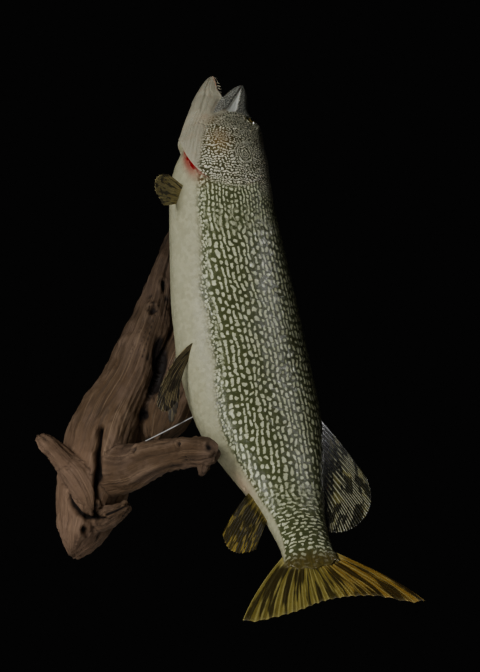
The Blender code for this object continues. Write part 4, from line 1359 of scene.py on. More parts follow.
def build_teeth(finish):
    """Canines along the lower jaw, small teeth along the upper lip and bands of them on the palate."""
    random = np.random.default_rng(11)
    teeth = []

    def grow(s, d, l, tall, radius, sign):
        lean = -0.25 if sign > 0 else 0.15
        base = SPINE.place(np.array([s, d - sign * 0.0018, l]))
        tip = SPINE.place(np.array([s + lean * tall, d + sign * tall, l * 0.97]))
        bend = SPINE.place(np.array([s + 0.12 * tall, d, l])) - SPINE.place(np.array([s, d, l]))
        teeth.append(tooth(base, tip, radius, bend))

    for side in (1, -1):
        for s, tall in CANINES:
            s = s + random.normal(0, 0.0006)
            wide = float(through(LOWER, 3, s)) - 0.0018
            grow(s, float(through(LOWER, 1, s)) - 0.0006, side * wide, tall, 0.0004 + 0.16 * tall, 1)
        for s in np.arange(0.018, 0.068, 0.0034):
            s = s + random.normal(0, 0.0005)
            wide = float(through(UPPER, 3, s)) - 0.0014
            tall = 0.0026 * random.uniform(0.8, 1.25)
            grow(s, float(through(UPPER, 2, s)) + 0.0004, side * wide, tall, 0.0006, -1)
        for s in np.arange(0.026, 0.072, 0.0046):
            for band in (0.50, 0.66):
                here = s + random.normal(0, 0.0008)
                wide = float(through(UPPER, 3, here)) * band
                roof = float(through(UPPER, 2, here)) + PALATE_ARCH * float(smoothstep(0.012, 0.05, here))
                grow(here, roof - 0.0008, side * wide, 0.0034 * random.uniform(0.7, 1.2), 0.0006, -1)
    points = np.array(teeth)
    grid = np.arange(points[..., 0].size).reshape(points.shape[:3])
    after = np.roll(grid, -1, axis=2)
    quads = np.stack([grid[:, :-1], after[:, :-1], after[:, 1:], grid[:, 1:]], -1).reshape(-1, 4)
    mesh = close_holes(mesh_from("teeth", points.reshape(-1, 3), quads))
    share = (np.linspace(0, 1, TOOTH_RINGS + 1)[:, None] + 0.0 * grid).ravel()
    store(mesh, "fan", np.stack([share, share * 0, share * 0], -1))
    show(mesh, "teeth", finish)


def build_tongue(finish):
    """Flat tongue with a groove and small bumps, lying on the floor of the mouth."""
    rows, around = 60, 64
    t = np.linspace(0, 1, rows)[:, None]
    turn = full_turn(around)[None, :]
    s = 0.037 + 0.055 * t + 0 * turn
    lip, keel = through(LOWER, 1, s), through(LOWER, 2, s)
    bed = lip - 0.0005 - MOUTH_FLOOR * (lip - keel) + 0.0006
    nose = np.clip(np.minimum(t / 0.16, (1 - t) / 0.10), 0.0, 1.0)
    nose = np.sqrt(1 - (1 - nose) ** 2) * 0.985 + 0.015
    l = (0.0085 + 0.0025 * t) * nose * np.cos(turn)
    d = bed + (0.0030 + 0.0022 * t) * nose * (0.9 + np.sin(turn))
    d = d - 0.0012 * hump(np.cos(turn), 0.25) * (np.sin(turn) > 0) * nose
    d = d + 0.00025 * noise(np.stack([s, l, d], -1), 900, 9)
    mesh = sealed_tube("tongue_flesh", SPINE.place(np.stack([s, d, l], -1)))
    show(mesh, "tongue_flesh", finish, ("tongue",))


# ---------------------------------------------------------------- driftwood and fixings

# Each limb as rings: x, y and z of the centre, half width and half depth
MAIN_LIMB = (
    (0.092, -0.060, 0.375, 0.004, 0.006),
    (0.086, -0.057, 0.345, 0.009, 0.014),
    (0.073, -0.053, 0.300, 0.015, 0.025),
    (0.060, -0.050, 0.246, 0.021, 0.035),
    (0.048, -0.046, 0.175, 0.034, 0.045),
    (0.030, -0.043, 0.112, 0.042, 0.053),
    (0.008, -0.041, 0.042, 0.050, 0.060),
    (-0.021, -0.040, -0.017, 0.060, 0.063),
    (-0.036, -0.040, -0.075, 0.061, 0.063),
    (-0.048, -0.041, -0.131, 0.053, 0.060),
    (-0.056, -0.043, -0.179, 0.042, 0.052),
    (-0.064, -0.048, -0.214, 0.024, 0.036),
    (-0.068, -0.052, -0.233, 0.006, 0.012),
)
SLAB = (
    (0.190, -0.052, 0.292, 0.012, 0.012),
    (0.172, -0.050, 0.262, 0.024, 0.026),
    (0.140, -0.050, 0.190, 0.032, 0.034),
    (0.104, -0.048, 0.110, 0.042, 0.036),
    (0.078, -0.048, 0.035, 0.046, 0.036),
    (0.060, -0.048, -0.020, 0.040, 0.036),
    (0.052, -0.048, -0.052, 0.018, 0.024),
)
STUB = (
    (-0.120, -0.118, -0.058, 0.007, 0.007),
    (-0.112, -0.112, -0.066, 0.013, 0.013),
    (-0.094, -0.102, -0.082, 0.016, 0.016),
    (-0.076, -0.090, -0.102, 0.021, 0.020),
    (-0.050, -0.070, -0.128, 0.026, 0.028),
)
FLAP = (
    (-0.090, -0.098, -0.088, 0.014, 0.010),
    (-0.062, -0.098, -0.116, 0.022, 0.013),
    (-0.044, -0.096, -0.146, 0.018, 0.013),
    (-0.034, -0.092, -0.172, 0.009, 0.008),
    (-0.030, -0.090, -0.182, 0.003, 0.004),
)
BRANCH = (
    (-0.040, -0.050, -0.102, 0.042, 0.040),
    (-0.006, -0.074, -0.106, 0.040, 0.036),
    (0.024, -0.108, -0.109, 0.035, 0.032),
    (0.056, -0.148, -0.106, 0.027, 0.027),
    (0.092, -0.188, -0.105, 0.022, 0.022),
    (0.126, -0.226, -0.110, 0.020, 0.020),
    (0.146, -0.250, -0.116, 0.018, 0.018),
    (0.155, -0.259, -0.119, 0.010, 0.010),
)
SPUR = (
    (0.140, -0.240, -0.118, 0.012, 0.012),
    (0.139, -0.242, -0.132, 0.010, 0.010),
    (0.137, -0.243, -0.146, 0.003, 0.003),
)
PRONG = (
    (-0.050, -0.060, -0.176, 0.022, 0.026),
    (-0.022, -0.074, -0.180, 0.017, 0.020),
    (0.002, -0.084, -0.170, 0.012, 0.013),
    (0.018, -0.090, -0.162, 0.006, 0.007),
)
BACKING = (
    (0.100, -0.030, 0.270, 0.012, 0.016),
    (0.088, -0.030, 0.200, 0.022, 0.024),
    (0.072, -0.030, 0.120, 0.028, 0.028),
    (0.052, -0.032, 0.040, 0.030, 0.030),
    (0.030, -0.036, -0.030, 0.026, 0.030),
)
LIMBS = (MAIN_LIMB, SLAB, STUB, FLAP, BRANCH, SPUR, PRONG, BACKING)
LIMB_AROUND = 48
WOOD_CELL = 0.0024
SAWN_BACK, WALL_GAP = -0.0008, -0.0002       # points behind the first y move to the second

# Splits and hollows seen on the front, as chains of (x, z), with half width and depth
WOOD_SPLITS = (
    (((-0.029, -0.045), (-0.031, -0.075), (-0.028, -0.109), (-0.027, -0.179)), 0.0042, 0.020),
    (((-0.072, -0.146), (-0.066, -0.162), (-0.056, -0.174), (-0.042, -0.182), (-0.018, -0.183)),
     0.0030, 0.013),
    (((-0.014, -0.176), (0.004, -0.169), (0.021, -0.158)), 0.0022, 0.008),
    (((0.069, 0.165), (0.064, 0.120), (0.058, 0.059), (0.050, 0.025), (0.034, -0.012)), 0.0115, 0.009),
    (((0.062, 0.215), (0.066, 0.185), (0.060, 0.160)), 0.0036, 0.009),
)
SHALLOW = 0.010                              # splits less deep than this are broken along their length

# Knot holes on the front: x, z and size
WOOD_KNOTS = (
    (-0.047, -0.199, 0.006),
    (0.045, 0.160, 0.008),
    (0.035, -0.092, 0.005),
    (0.105, -0.098, 0.004),
    (0.148, -0.110, 0.006),
)


def limb_rings(stations, step=0.006):
    """Places along a limb, with its centre, directions and half widths at each."""
    table = np.array(stations)
    gaps = np.linalg.norm(np.diff(table[:, :3], axis=0), axis=1)
    rows = np.column_stack([np.append(0, np.cumsum(gaps)), table])
    length = rows[-1, 0]
    t = np.linspace(0, length, max(6, int(length / step)))
    x, y, z, wide, deep = (through(rows, k, t) for k in range(1, 6))
    centre = np.stack([x, y, z], -1)
    along = unit(np.gradient(centre, t, axis=0))
    side = unit(np.cross(along, [0.0, -1.0, 0.0]))
    return t, centre, along, side, np.cross(side, along), np.maximum(wide, 0.002), np.maximum(deep, 0.002)


def wood_core():
    """All limbs as overlapping tubes, melted into one body of small cells."""
    work = Patchwork()
    turn = full_turn(LIMB_AROUND)[None, :]
    for number, stations in enumerate(LIMBS):
        t, centre, _, side, front, wide, deep = limb_rings(stations)
        t, wide, deep = t[:, None], wide[:, None], deep[:, None]
        phase = 1.3 * number + 0.4
        uneven = 1 + 0.06 * np.sin(3 * turn + phase + 4 * t) + 0.03 * np.sin(5 * turn + 9 * t)
        ids = work.add_rings(
            centre[:, None]
            + side[:, None] * (wide * uneven * np.cos(turn))[..., None]
            + front[:, None] * (deep * uneven * np.sin(turn))[..., None]
        )
        work.weave(ids, np.zeros(ids.shape + (2,)))
    core = bpy.data.objects.new("wood_core", close_holes(work.mesh("wood_core")))
    bpy.context.scene.collection.objects.link(core)
    melt = core.modifiers.new("melt", "REMESH")
    melt.mode = "VOXEL"
    melt.voxel_size = WOOD_CELL
    soften = core.modifiers.new("soften", "SMOOTH")
    soften.factor = 0.5
    soften.iterations = 3
    bpy.context.view_layer.update()
    result = bpy.data.meshes.new_from_object(core.evaluated_get(bpy.context.evaluated_depsgraph_get()))
    bpy.data.objects.remove(core)
    return result


def wood_fibres(points):
    """For each limb: each point's weight, its place along and around the limb, and the limb's girth."""
    fibres = []
    for stations in LIMBS:
        t, centre, along, side, front, wide, deep = limb_rings(stations, step=0.010)
        best = np.full(len(points), 1e9)
        place = np.zeros((len(points), 3))
        for k in range(len(t)):
            rel = points - centre[k]
            across, ahead, toward = rel @ side[k] / wide[k], rel @ along[k], rel @ front[k] / deep[k]
            reach = np.sqrt(across**2 + toward**2 + (ahead / 0.012) ** 2)
            closer = reach < best
            best = np.where(closer, reach, best)
            angle = np.arctan2(toward, across)
            here = np.stack([t[k] + ahead, np.cos(angle), np.sin(angle)], -1)
            place = np.where(closer[:, None], here, place)
        fibres.append((np.exp(-7.0 * best), place, 0.022 + 0.6 * float(np.mean(wide))))
    return fibres


def grain_relief(fibres, count):
    """Flutes, ribs and cracks that follow the fibres, as height; depth of grooves, which the finish paints
    dark as shade; and dark streaks.
    """
    height, groove, streak = np.zeros(count), np.zeros(count), np.zeros(count)
    total = np.maximum(sum(weight for weight, _, _ in fibres), 1e-12)
    for number, (weight, place, girth) in enumerate(fibres):
        t, c, w = place.T
        twist = noise(np.stack([t, c * girth, w * girth], -1), 18, 40 + number) * 0.004
        q = np.stack([t * 0.10, c * girth + twist, w * girth - twist], -1)
        flutes = noise(q, 70, number)
        ribs = 1 - np.abs(noise(q, 190, 7 + number)) * 2
        fibre = noise(q, 520, 19 + number)
        crack = smoothstep(0.150, 0.0, np.abs(noise(q + 0.013, 105, 31 + number)))
        stretch = noise(np.stack([t, c * 0.02, w * 0.02], -1), 24, 50 + number)
        crack = crack * smoothstep(-0.10, 0.25, stretch)
        share = weight / total
        height += share * (0.0032 * flutes + 0.0013 * ribs + 0.0006 * fibre - 0.0015 * crack)
        # Hollows between flutes and ribs count as groove too, so the finish paints them with shade.
        hollows = 0.25 * smoothstep(0.2, -0.6, flutes) + 0.2 * smoothstep(0.3, -0.8, ribs)
        groove += share * (0.55 * crack + hollows)
        streak += share * noise(q, 300, 60 + number)
    return height, groove, streak


def cut_splits(points, normals, height, groove):
    """Height and grooves with the splits and knot holes of the front cut in; the finish paints the grooves
    with shade.
    """
    edge_on = smoothstep(0.15, 0.55, -normals[:, 1])
    wavy = points[:, 0] + 0.0022 * noise(points, 60, 71)
    for line, wide, deep in WOOD_SPLITS:
        away = to_line(wavy, points[:, 2], line)
        broken = smoothstep(-0.75, 0.1, noise(points, 22, 73)) if deep < SHALLOW else 1.0
        cut = hump(away, wide) * edge_on * broken
        lip = hump(away - 2.1 * wide, wide) * edge_on * broken
        height = height - deep * cut + 0.12 * min(deep, SHALLOW) * lip
        groove = np.maximum(groove, 1.1 * cut)
    for x, z, size in WOOD_KNOTS:
        away = np.hypot(points[:, 0] - x, (points[:, 2] - z) * 0.8)
        rim = hump(away - 1.2 * size, 0.5 * size)
        height = height + edge_on * (0.0030 * rim - 0.0075 * hump(away, 0.75 * size))
        groove = np.maximum(groove, edge_on * 0.9 * hump(away, 0.8 * size))
    return height, groove


def strongest_grain(fibres, count):
    """Coordinates of the grain at each point, taken from the limb that counts most there."""
    lead, strongest = np.zeros((count, 3)), np.zeros(count)
    for number, (weight, place, girth) in enumerate(fibres):
        ahead = weight > strongest
        here = np.stack([place[:, 0] + number, place[:, 1] * girth, place[:, 2] * girth], -1)
        lead = np.where(ahead[:, None], here, lead)
        strongest = np.where(ahead, weight, strongest)
    return lead


def build_driftwood(finish):
    mesh = wood_core()
    count = len(mesh.vertices)
    points = vectors(mesh.vertices, "co").astype(float)
    normals = vectors(mesh.vertex_normals, "vector").astype(float)
    fibres = wood_fibres(points)
    height, groove, streak = grain_relief(fibres, count)
    height, groove = cut_splits(points, normals, height, groove)
    height = height + 0.0016 * layered(points, 55, 3, 80)
    points = points + normals * height[:, None]
    back = points[:, 1] > SAWN_BACK          # the sawn back stays flat on the wall
    points[back, 1] = WALL_GAP
    mesh.vertices.foreach_set("co", points.astype(np.float32).ravel())
    mesh.update()
    mesh.shade_smooth()
    store(mesh, "grain", strongest_grain(fibres, count))
    worn = np.clip(0.5 + height * 90, 0, 1)
    # Channels: groove depth, which the finish paints dark as shade; real wear on raised parts; streaks; the
    # sawn back.
    wear_and_groove_shade = np.stack([np.clip(groove, 0, 1), worn, 0.5 + 0.5 * streak, back.astype(float)], -1)
    store(mesh, "wear_and_groove_shade", wear_and_groove_shade)
    show(mesh, "driftwood_grain", finish, ("driftwood",))


WIRE_START, WIRE_END, WIRE_RADIUS = (0.006, -0.072, -0.0730), (0.1255, -0.1759, -0.0407), 0.0008
WIRE_SAG = 0.0010
BOLT_START, BOLT_END, BOLT_RADIUS = (0.140, -0.070, 0.190), (0.172, -0.150, 0.200), 0.0058
THREAD_DEPTH, THREAD_TURNS = 0.0004, 62


def tube(name, start, end, steps, radius, around=20, sag=0.0, thread=0.0, turns=0.0):
    """Round rod with closed ends; it may sag in the middle, and thread adds a screw ridge."""
    share = np.linspace(0, 1, steps)[:, None]
    path = mix(np.array(start), np.array(end), share) - np.array([0, 0, sag]) * np.sin(math.pi * share)
    along = unit(np.gradient(path, axis=0))
    side = unit(np.cross(along, [0.1, 1.0, 0.2]))
    other = np.cross(along, side)
    turn = full_turn(around)[None, :]
    wide = radius + thread * np.sin(2 * math.pi * turns * share + turn)
    ring = np.cos(turn)[..., None] * side[:, None] + np.sin(turn)[..., None] * other[:, None]
    return sealed_tube(name, path[:, None] + wide[..., None] * ring)


def build_fixings(wire_finish, bolt_finish):
    wire = tube("wire", WIRE_START, WIRE_END, 60, WIRE_RADIUS, sag=WIRE_SAG)
    show(wire, "wire", wire_finish, ("mount_wire",))
    core = BOLT_RADIUS - THREAD_DEPTH
    bolt = tube("threaded_bolt", BOLT_START, BOLT_END, 400, core, 32, 0.0, THREAD_DEPTH, THREAD_TURNS)
    show(bolt, "threaded_bolt", bolt_finish, ("mount_bolt",))


# ---------------------------------------------------------------- materials

GILL_WHORL = (0.212, -0.017)                 # middle of the whorl of marks on the gill cover
WHORL_RADIUS = 0.032                         # where marks around the whorl keep their own length


def colour(red, green, blue):
    """Linear colour from display values of 0 to 255."""
    shares = np.array([red, green, blue]) / 255.0
    linear = np.where(shares <= 0.04045, shares / 12.92, ((shares + 0.055) / 1.055) ** 2.4)
    return (*linear.tolist(), 1.0)


class Look:
    """Node material with short ways to add the nodes it is made of."""

    def __init__(self, name):
        self.material = bpy.data.materials.new(name)
        self.material.use_nodes = True
        self.nodes = self.material.node_tree.nodes
        self.links = self.material.node_tree.links
        self.shader = self.nodes["Principled BSDF"]

    def set(self, **values):
        for name, value in values.items():
            self.shader.inputs[name.replace("_", " ")].default_value = value

    def to(self, name, value):
        self.links.new(value, self.shader.inputs[name])

    def roughness(self, value, low, high):
        """Gloss that varies with a noise, whose middle part spans low to high."""
        self.to("Roughness", self.ramp(value, 0.3, 0.7, low, high))

    def feed(self, socket, value):
        if isinstance(value, bpy.types.NodeSocket):
            self.links.new(value, socket)
        else:
            socket.default_value = value

    def node(self, kind, inputs=(), **settings):
        """New node with its settings, and its inputs fed from (name or number, value) pairs."""
        node = self.nodes.new("ShaderNode" + kind)
        for name, value in settings.items():
            setattr(node, name, value)
        for key, value in inputs:
            self.feed(node.inputs[key], value)
        return node

    def attribute(self, name, output="Vector"):
        return self.node("Attribute", attribute_name=name).outputs[output]

    def place(self):
        return self.node("TexCoord").outputs["Object"]

    def channels(self, name):
        split = self.node("SeparateColor", [(0, self.attribute(name, "Color"))])
        return *split.outputs[:3], self.attribute(name, "Alpha")

    def parts(self, vector):
        return self.node("SeparateXYZ", [(0, vector)]).outputs[:3]

    def joined(self, x, y):
        return self.node("CombineXYZ", [(0, x), (1, y)]).outputs[0]

    def math(self, operation, a, b=0.0, c=0.0):
        return self.node("Math", [(0, a), (1, b), (2, c)], operation=operation).outputs[0]

    def times(self, a, b):
        return self.math("MULTIPLY", a, b)

    def plus(self, a, b):
        return self.math("ADD", a, b)

    def minus(self, a, b):
        return self.math("SUBTRACT", a, b)

    def greater(self, a, b):
        return self.math("MAXIMUM", a, b)

    def diagonal(self, x, y):
        """Length of the two sides of a right angle, taken across."""
        return self.math("SQRT", self.plus(self.times(x, x), self.times(y, y)))

    def ramp(self, value, low, high, start=0.0, end=1.0):
        """Smooth step from start to end as the value goes from low to high."""
        names = ("Value", "From Min", "From Max", "To Min", "To Max")
        inputs = zip(names, (value, low, high, start, end))
        return self.node("MapRange", inputs, interpolation_type="SMOOTHSTEP").outputs[0]

    def blend(self, share, a, b, kind="MIX"):
        inputs = [(0, share), (6, a), (7, b)]
        return self.node("Mix", inputs, data_type="RGBA", blend_type=kind).outputs[2]

    def wash(self, tone, share, strength, over):
        """Tone with another colour laid over it, by a share of which only a part counts."""
        return self.blend(self.times(share, strength), tone, colour(*over))

    def stain(self, tone, share, over):
        return self.blend(share, tone, colour(*over))

    def mottled(self, value, first, second):
        return self.blend(value, colour(*first), colour(*second))

    def scaled(self, vector, sizes, shift=(0.0, 0.0, 0.0)):
        inputs = [("Vector", vector), ("Scale", sizes), ("Location", shift)]
        return self.node("Mapping", inputs).outputs[0]

    def shifted(self, vector, offset, strength):
        """Vector moved by a colour noise around its middle."""
        middle = (0.5, 0.5, 0.5)
        lower = self.node("VectorMath", [(0, offset), (1, middle)], operation="SUBTRACT").outputs[0]
        sized = self.node("VectorMath", [(0, lower), ("Scale", strength)], operation="SCALE").outputs[0]
        return self.node("VectorMath", [(0, vector), (1, sized)]).outputs[0]

    def noise(self, vector, scale, detail=2.0, rough=0.5):
        return self.cloud(vector, scale, detail, rough).outputs[0]

    def colour_noise(self, vector, scale, detail=2.0, rough=0.5):
        return self.cloud(vector, scale, detail, rough).outputs[1]

    def cloud(self, vector, scale, detail, rough):
        inputs = [("Vector", vector), ("Scale", scale), ("Detail", detail), ("Roughness", rough)]
        return self.node("TexNoise", inputs)

    def drawn(self, vector, sizes, detail, rough, shift=(0.0, 0.0, 0.0)):
        """Noise that is drawn out, with its own number of cells along each axis."""
        return self.noise(self.scaled(vector, sizes, shift), 1.0, detail, rough)

    def cells(self, vector, randomness, output="Distance"):
        inputs = [("Vector", vector), ("Scale", 1.0), ("Randomness", randomness)]
        return self.node("TexVoronoi", inputs, voronoi_dimensions="2D", feature="F1").outputs[output]

    def chance(self, vector):
        """One random number for each whole-numbered place."""
        return self.node("TexWhiteNoise", [("Vector", vector)], noise_dimensions="2D").outputs["Value"]

    def swapped(self, vector):
        """The same coordinates with the first two changed over."""
        x, y = self.parts(vector)[:2]
        return self.joined(y, x)

    def whorl(self, vector, centre):
        """Coordinates around and out from a centre, both in metres."""
        x, y = (self.minus(part, middle) for part, middle in zip(self.parts(vector), centre))
        turn = self.times(self.math("ARCTAN2", y, x), WHORL_RADIUS)
        return self.joined(turn, self.diagonal(x, y))

    def bump(self, height, distance, strength=1.0, onto=None):
        inputs = [("Height", height), ("Distance", distance), ("Strength", strength)]
        if onto is not None:
            inputs.append(("Normal", onto))
        return self.node("Bump", inputs).outputs[0]


def spots(look, base, along, across, size, soft, seed, randomness):
    """Rounded pale marks in rows: cells stretched along the fish, of uneven size."""
    stretched = look.scaled(base, (1 / along, 1 / across, 1.0), (seed, 2.3 * seed, 0.0))
    tint = look.node("SeparateColor", [(0, look.cells(stretched, randomness, "Color"))])
    grown = look.math("MULTIPLY_ADD", tint.outputs[0], 0.20, size - 0.10)
    edge = look.minus(look.cells(stretched, randomness), grown)
    return look.ramp(edge, soft, -soft)


def dashes(look, vector, long, across, seed, wide):
    """Rounded dashes in columns, each of its own length, on a 0-1 mask."""
    x, y = look.parts(vector)[:2]
    column = look.plus(look.math("DIVIDE", y, across), seed)
    index = look.math("FLOOR", column)
    aside = look.math("ABSOLUTE", look.minus(look.math("FRACT", column), 0.5))
    stagger = look.chance(look.joined(index, 0.5))
    place = look.plus(look.math("DIVIDE", x, long), stagger)
    ahead = look.math("ABSOLUTE", look.minus(look.math("FRACT", place), 0.5))
    chance = look.chance(look.joined(look.math("FLOOR", place), index))
    half = look.ramp(chance, 0.0, 1.0, 0.02, 0.34)
    width = look.ramp(chance, 0.0, 1.0, wide + 0.05, wide - 0.05)
    over = look.times(look.greater(look.minus(ahead, half), 0.0), long / across)
    return look.ramp(look.minus(width, look.diagonal(over, aside)), -0.08, 0.06)


def skin_marks(look, base, ragged, wavy, white, worms, bars, dark):
    """Mask of the pale marks: dashes on the flank, spots by the belly, worms on the head, bars behind."""
    warped = look.shifted(look.shifted(base, look.colour_noise(base, 45.0), 0.014), ragged, 0.0052)
    large = dashes(look, warped, 0.0136, 0.0084, 0.0, 0.26)
    slim = dashes(look, warped, 0.0092, 0.0061, 7.0, 0.25)
    small = spots(look, wavy, 0.0056, 0.0044, 0.34, 0.10, 5.0, 0.9)
    swirl = look.shifted(look.shifted(base, look.colour_noise(base, 62.0), 0.013), ragged, 0.0062)
    whorl = look.whorl(swirl, GILL_WHORL)
    ring = dashes(look, whorl, 0.0060, 0.0039, 3.0, 0.275)
    across = dashes(look, look.swapped(swirl), 0.0058, 0.0039, 11.0, 0.275)
    stalk = dashes(look, look.swapped(swirl), 0.0135, 0.0062, 9.0, 0.24)
    worm = look.blend(look.ramp(look.parts(whorl)[1], 0.024, 0.012), across, ring)
    slender = look.greater(look.ramp(dark, 0.25, 0.7), look.ramp(look.parts(wavy)[0], 0.36, 0.28))
    marks = look.blend(slender, large, slim)
    marks = look.blend(look.ramp(white, 0.02, 0.36), marks, small)
    marks = look.blend(bars, marks, stalk)
    return look.blend(worms, marks, worm)


def flank_tone(look, base, ragged, marks, worms, dark, amber):
    """Olive ground with pale marks, browner on the head and darker on the back."""
    patchy = look.noise(base, 26.0, 4.0, 0.6)
    ground = look.mottled(patchy, (58, 64, 36), (80, 86, 50))
    ground = look.stain(ground, look.ramp(ragged, 0.48, 0.76, 0.0, 0.6), (124, 128, 88))
    ground = look.stain(ground, dark, (28, 33, 19))
    ground = look.wash(ground, worms, 0.8, (66, 62, 40))
    bean = look.mottled(patchy, (218, 221, 176), (242, 243, 208))
    bean = look.wash(bean, dark, 0.66, (84, 88, 58))
    bean = look.wash(bean, worms, 0.7, (252, 247, 226))
    bright = look.ramp(look.noise(base, 160.0, 1.0, 0.5), 0.35, 0.65, 0.76, 1.0)
    flank = look.blend(look.times(marks, bright), ground, bean)
    flank = look.wash(flank, look.noise(base, 900.0, 2.0, 0.6), 0.20, (112, 112, 80))
    return look.wash(flank, amber, 0.50, (150, 114, 58))


def pale_tone(look, base, worms, amber):
    """Cream belly, and the greyer throat and lower jaw."""
    belly = look.mottled(look.noise(base, 30.0, 3.0, 0.55), (168, 164, 132), (186, 183, 152))
    belly = look.wash(belly, look.noise(base, 240.0, 3.0, 0.6), 0.20, (146, 142, 104))
    jaw = look.mottled(look.drawn(base, (26.0, 170.0, 1.0), 4.0, 0.65), (142, 136, 116), (178, 174, 154))
    flush = look.ramp(look.noise(base, 60.0, 3.0, 0.6), 0.45, 0.75, 0.0, 0.5)
    jaw = look.stain(jaw, flush, (160, 138, 114))
    jaw = look.stain(jaw, look.ramp(look.parts(base)[1], 0.024, 0.012), (206, 208, 200))
    pale = look.blend(look.times(look.ramp(worms, 0.5, 1.0), 0.85), belly, jaw)
    return look.wash(pale, amber, 0.45, (150, 112, 72))


def snout_tone(look, base, wavy, dark):
    """Grey of the snout and the maxilla, with light specks."""
    specks = look.ramp(look.cells(look.scaled(wavy, (330.0, 330.0, 1.0)), 1.0), 0.42, 0.20)
    tone = look.mottled(look.noise(base, 340.0, 3.0, 0.7), (34, 35, 30), (112, 112, 104))
    tone = look.wash(tone, specks, 0.75, (196, 196, 184))
    return look.wash(tone, dark, 0.7, (62, 63, 52))


def fish_finish():
    look = Look("pike_skin")
    base = look.attribute("lie")
    white, worms, bars, grey = look.channels("marks")
    red, amber, dark, shade = look.channels("tones")
    ragged = look.colour_noise(base, 190.0, 3.0, 0.6)
    wavy = look.shifted(base, ragged, 0.0060)
    marks = skin_marks(look, base, ragged, wavy, white, worms, bars, dark)

    reach = look.plus(white, look.times(look.noise(base, 150.0, 3.0, 0.6), 0.44))
    belly = look.ramp(look.plus(reach, look.times(marks, 0.20)), 0.62, 1.12)
    flank = flank_tone(look, base, ragged, marks, worms, dark, amber)
    whole = look.blend(belly, flank, pale_tone(look, base, worms, amber))
    whole = look.blend(look.times(grey, 0.90), whole, snout_tone(look, base, wavy, dark))
    blush = look.mottled(look.noise(base, 300.0, 3.0, 0.6), (158, 14, 24), (112, 8, 16))
    whole = look.blend(red, whole, blush)
    tail = look.ramp(look.parts(wavy)[0], 0.868, 0.888)
    tail_tone = look.mottled(look.drawn(base, (60.0, 420.0, 1.0), 3.0, 0.6), (24, 19, 6), (112, 98, 48))
    whole = look.blend(look.times(tail, 0.92), whole, tail_tone)
    own = look.ramp(shade, 0.0, 1.0, 0.88, 1.06)
    own_grey = look.node("CombineColor", [(0, own), (1, own), (2, own)]).outputs[0]
    look.to("Base Color", look.blend(1.0, whole, own_grey, "MULTIPLY"))

    # The wet gloss lies in drops and streaks on the flank, and is faint on the belly
    look.roughness(look.noise(base, 700.0, 2.0, 0.6), 0.24, 0.42)
    skin_grain = look.bump(look.noise(base, 1500.0), 0.00012, 0.6)
    look.to("Normal", look.bump(marks, 0.0004, 0.5, skin_grain))
    look.to("Coat Normal", look.bump(look.noise(base, 300.0, 2.0, 0.6), 0.0010))
    drops = look.ramp(look.drawn(base, (300.0, 420.0, 1.0), 1.0, 0.5), 0.50, 0.62, 0.06, 1.0)
    look.to("Coat Weight", look.times(drops, look.ramp(belly, 0.0, 0.8, 1.0, 0.12)))
    look.to("Specular IOR Level", look.ramp(belly, 0.0, 0.8, 0.11, 0.12))
    look.set(Coat_Roughness=0.05)
    look.set(Subsurface_Weight=0.06, Subsurface_Radius=(0.004, 0.002, 0.001), Subsurface_Scale=0.5)
    return look.material


# Web, ray, blotch and warm tone of each fin, and how pale its edge is
FIN_TONES = {
    # The dorsal fin's near-white ray tone is partly the rays' own pale colour and partly a painted glint
    # along them.
    "dorsal_fin": ((54, 54, 33), (218, 216, 182), (12, 12, 6), (122, 112, 42), 0.0),
    "anal_fin": ((112, 98, 42), (150, 136, 74), (20, 17, 6), (146, 124, 44), 0.0),
    "caudal_fin": ((138, 124, 52), (196, 184, 112), (30, 22, 8), (158, 108, 36), 0.10),
    "pectoral_fin": ((178, 163, 102), (206, 193, 140), (22, 15, 5), (150, 130, 64), 0.0),
    # The pelvic fin's dark brown web is painted shade, together with the dark wood seen through the thin
    # web.
    "pelvic_fin": ((50, 41, 26), (150, 135, 94), (24, 18, 11), (66, 53, 32), 0.0),
}


def fin_patches(look, key, fan, reach, u, v):
    """Shares of dark blotches and of the warm tone over a fin."""
    loose = look.shifted(reach, look.colour_noise(reach, 42.0), 0.012)
    if key == "caudal_fin":
        streak = look.drawn(fan, (26.0, 0.9, 1.0), 1.0, 0.5, (1.7, 0.4, 0.0))
        breaks = look.drawn(loose, (30.0, 22.0, 1.0), 2.0, 0.5, (4.1, 2.0, 0.0))
        blotch = look.ramp(look.plus(streak, look.times(breaks, 0.16)), 0.56, 0.63)
        return blotch, look.times(look.ramp(u, 0.50, 0.85), 0.55)
    if key == "anal_fin":
        streak = look.drawn(fan, (12.0, 3.2, 1.0), 2.0, 0.5, (5.2, 1.4, 0.0))
        return look.ramp(streak, 0.40, 0.50), look.ramp(v, 0.35, 0.95)
    if key == "dorsal_fin":
        bars = look.drawn(loose, (58.0, 40.0, 1.0), 2.0, 0.55, (3.1, 0.4, 0.0))
        return look.ramp(bars, 0.48, 0.56), look.ramp(look.noise(reach, 34.0), 0.50, 0.66)
    streak = look.drawn(fan, (11.0, 2.6, 1.0), 2.0, 0.5, (2.2, 1.1, 0.0))
    tips = look.drawn(loose, (55.0, 90.0, 1.0), 1.0, 0.5)
    outer = look.times(look.ramp(tips, 0.52, 0.60), look.ramp(v, 0.50, 0.75))
    blotch = look.greater(look.ramp(streak, 0.51, 0.60), outer)
    return blotch, look.ramp(look.noise(reach, 28.0), 0.50, 0.66)


def ray_mask(look, u, v, count):
    """Lines of the rays, which part in two toward the edge, as in ray_profile."""
    lines = []
    for turn, power in ((math.pi * count, 5.0), (2 * math.pi * count, 4.0)):
        wave = look.math("ABSOLUTE", look.math("COSINE", look.times(u, turn)))
        lines.append(look.ramp(look.math("POWER", wave, power), 0.25, 0.85))
    return look.blend(look.ramp(v, 0.40, 0.62), *lines)


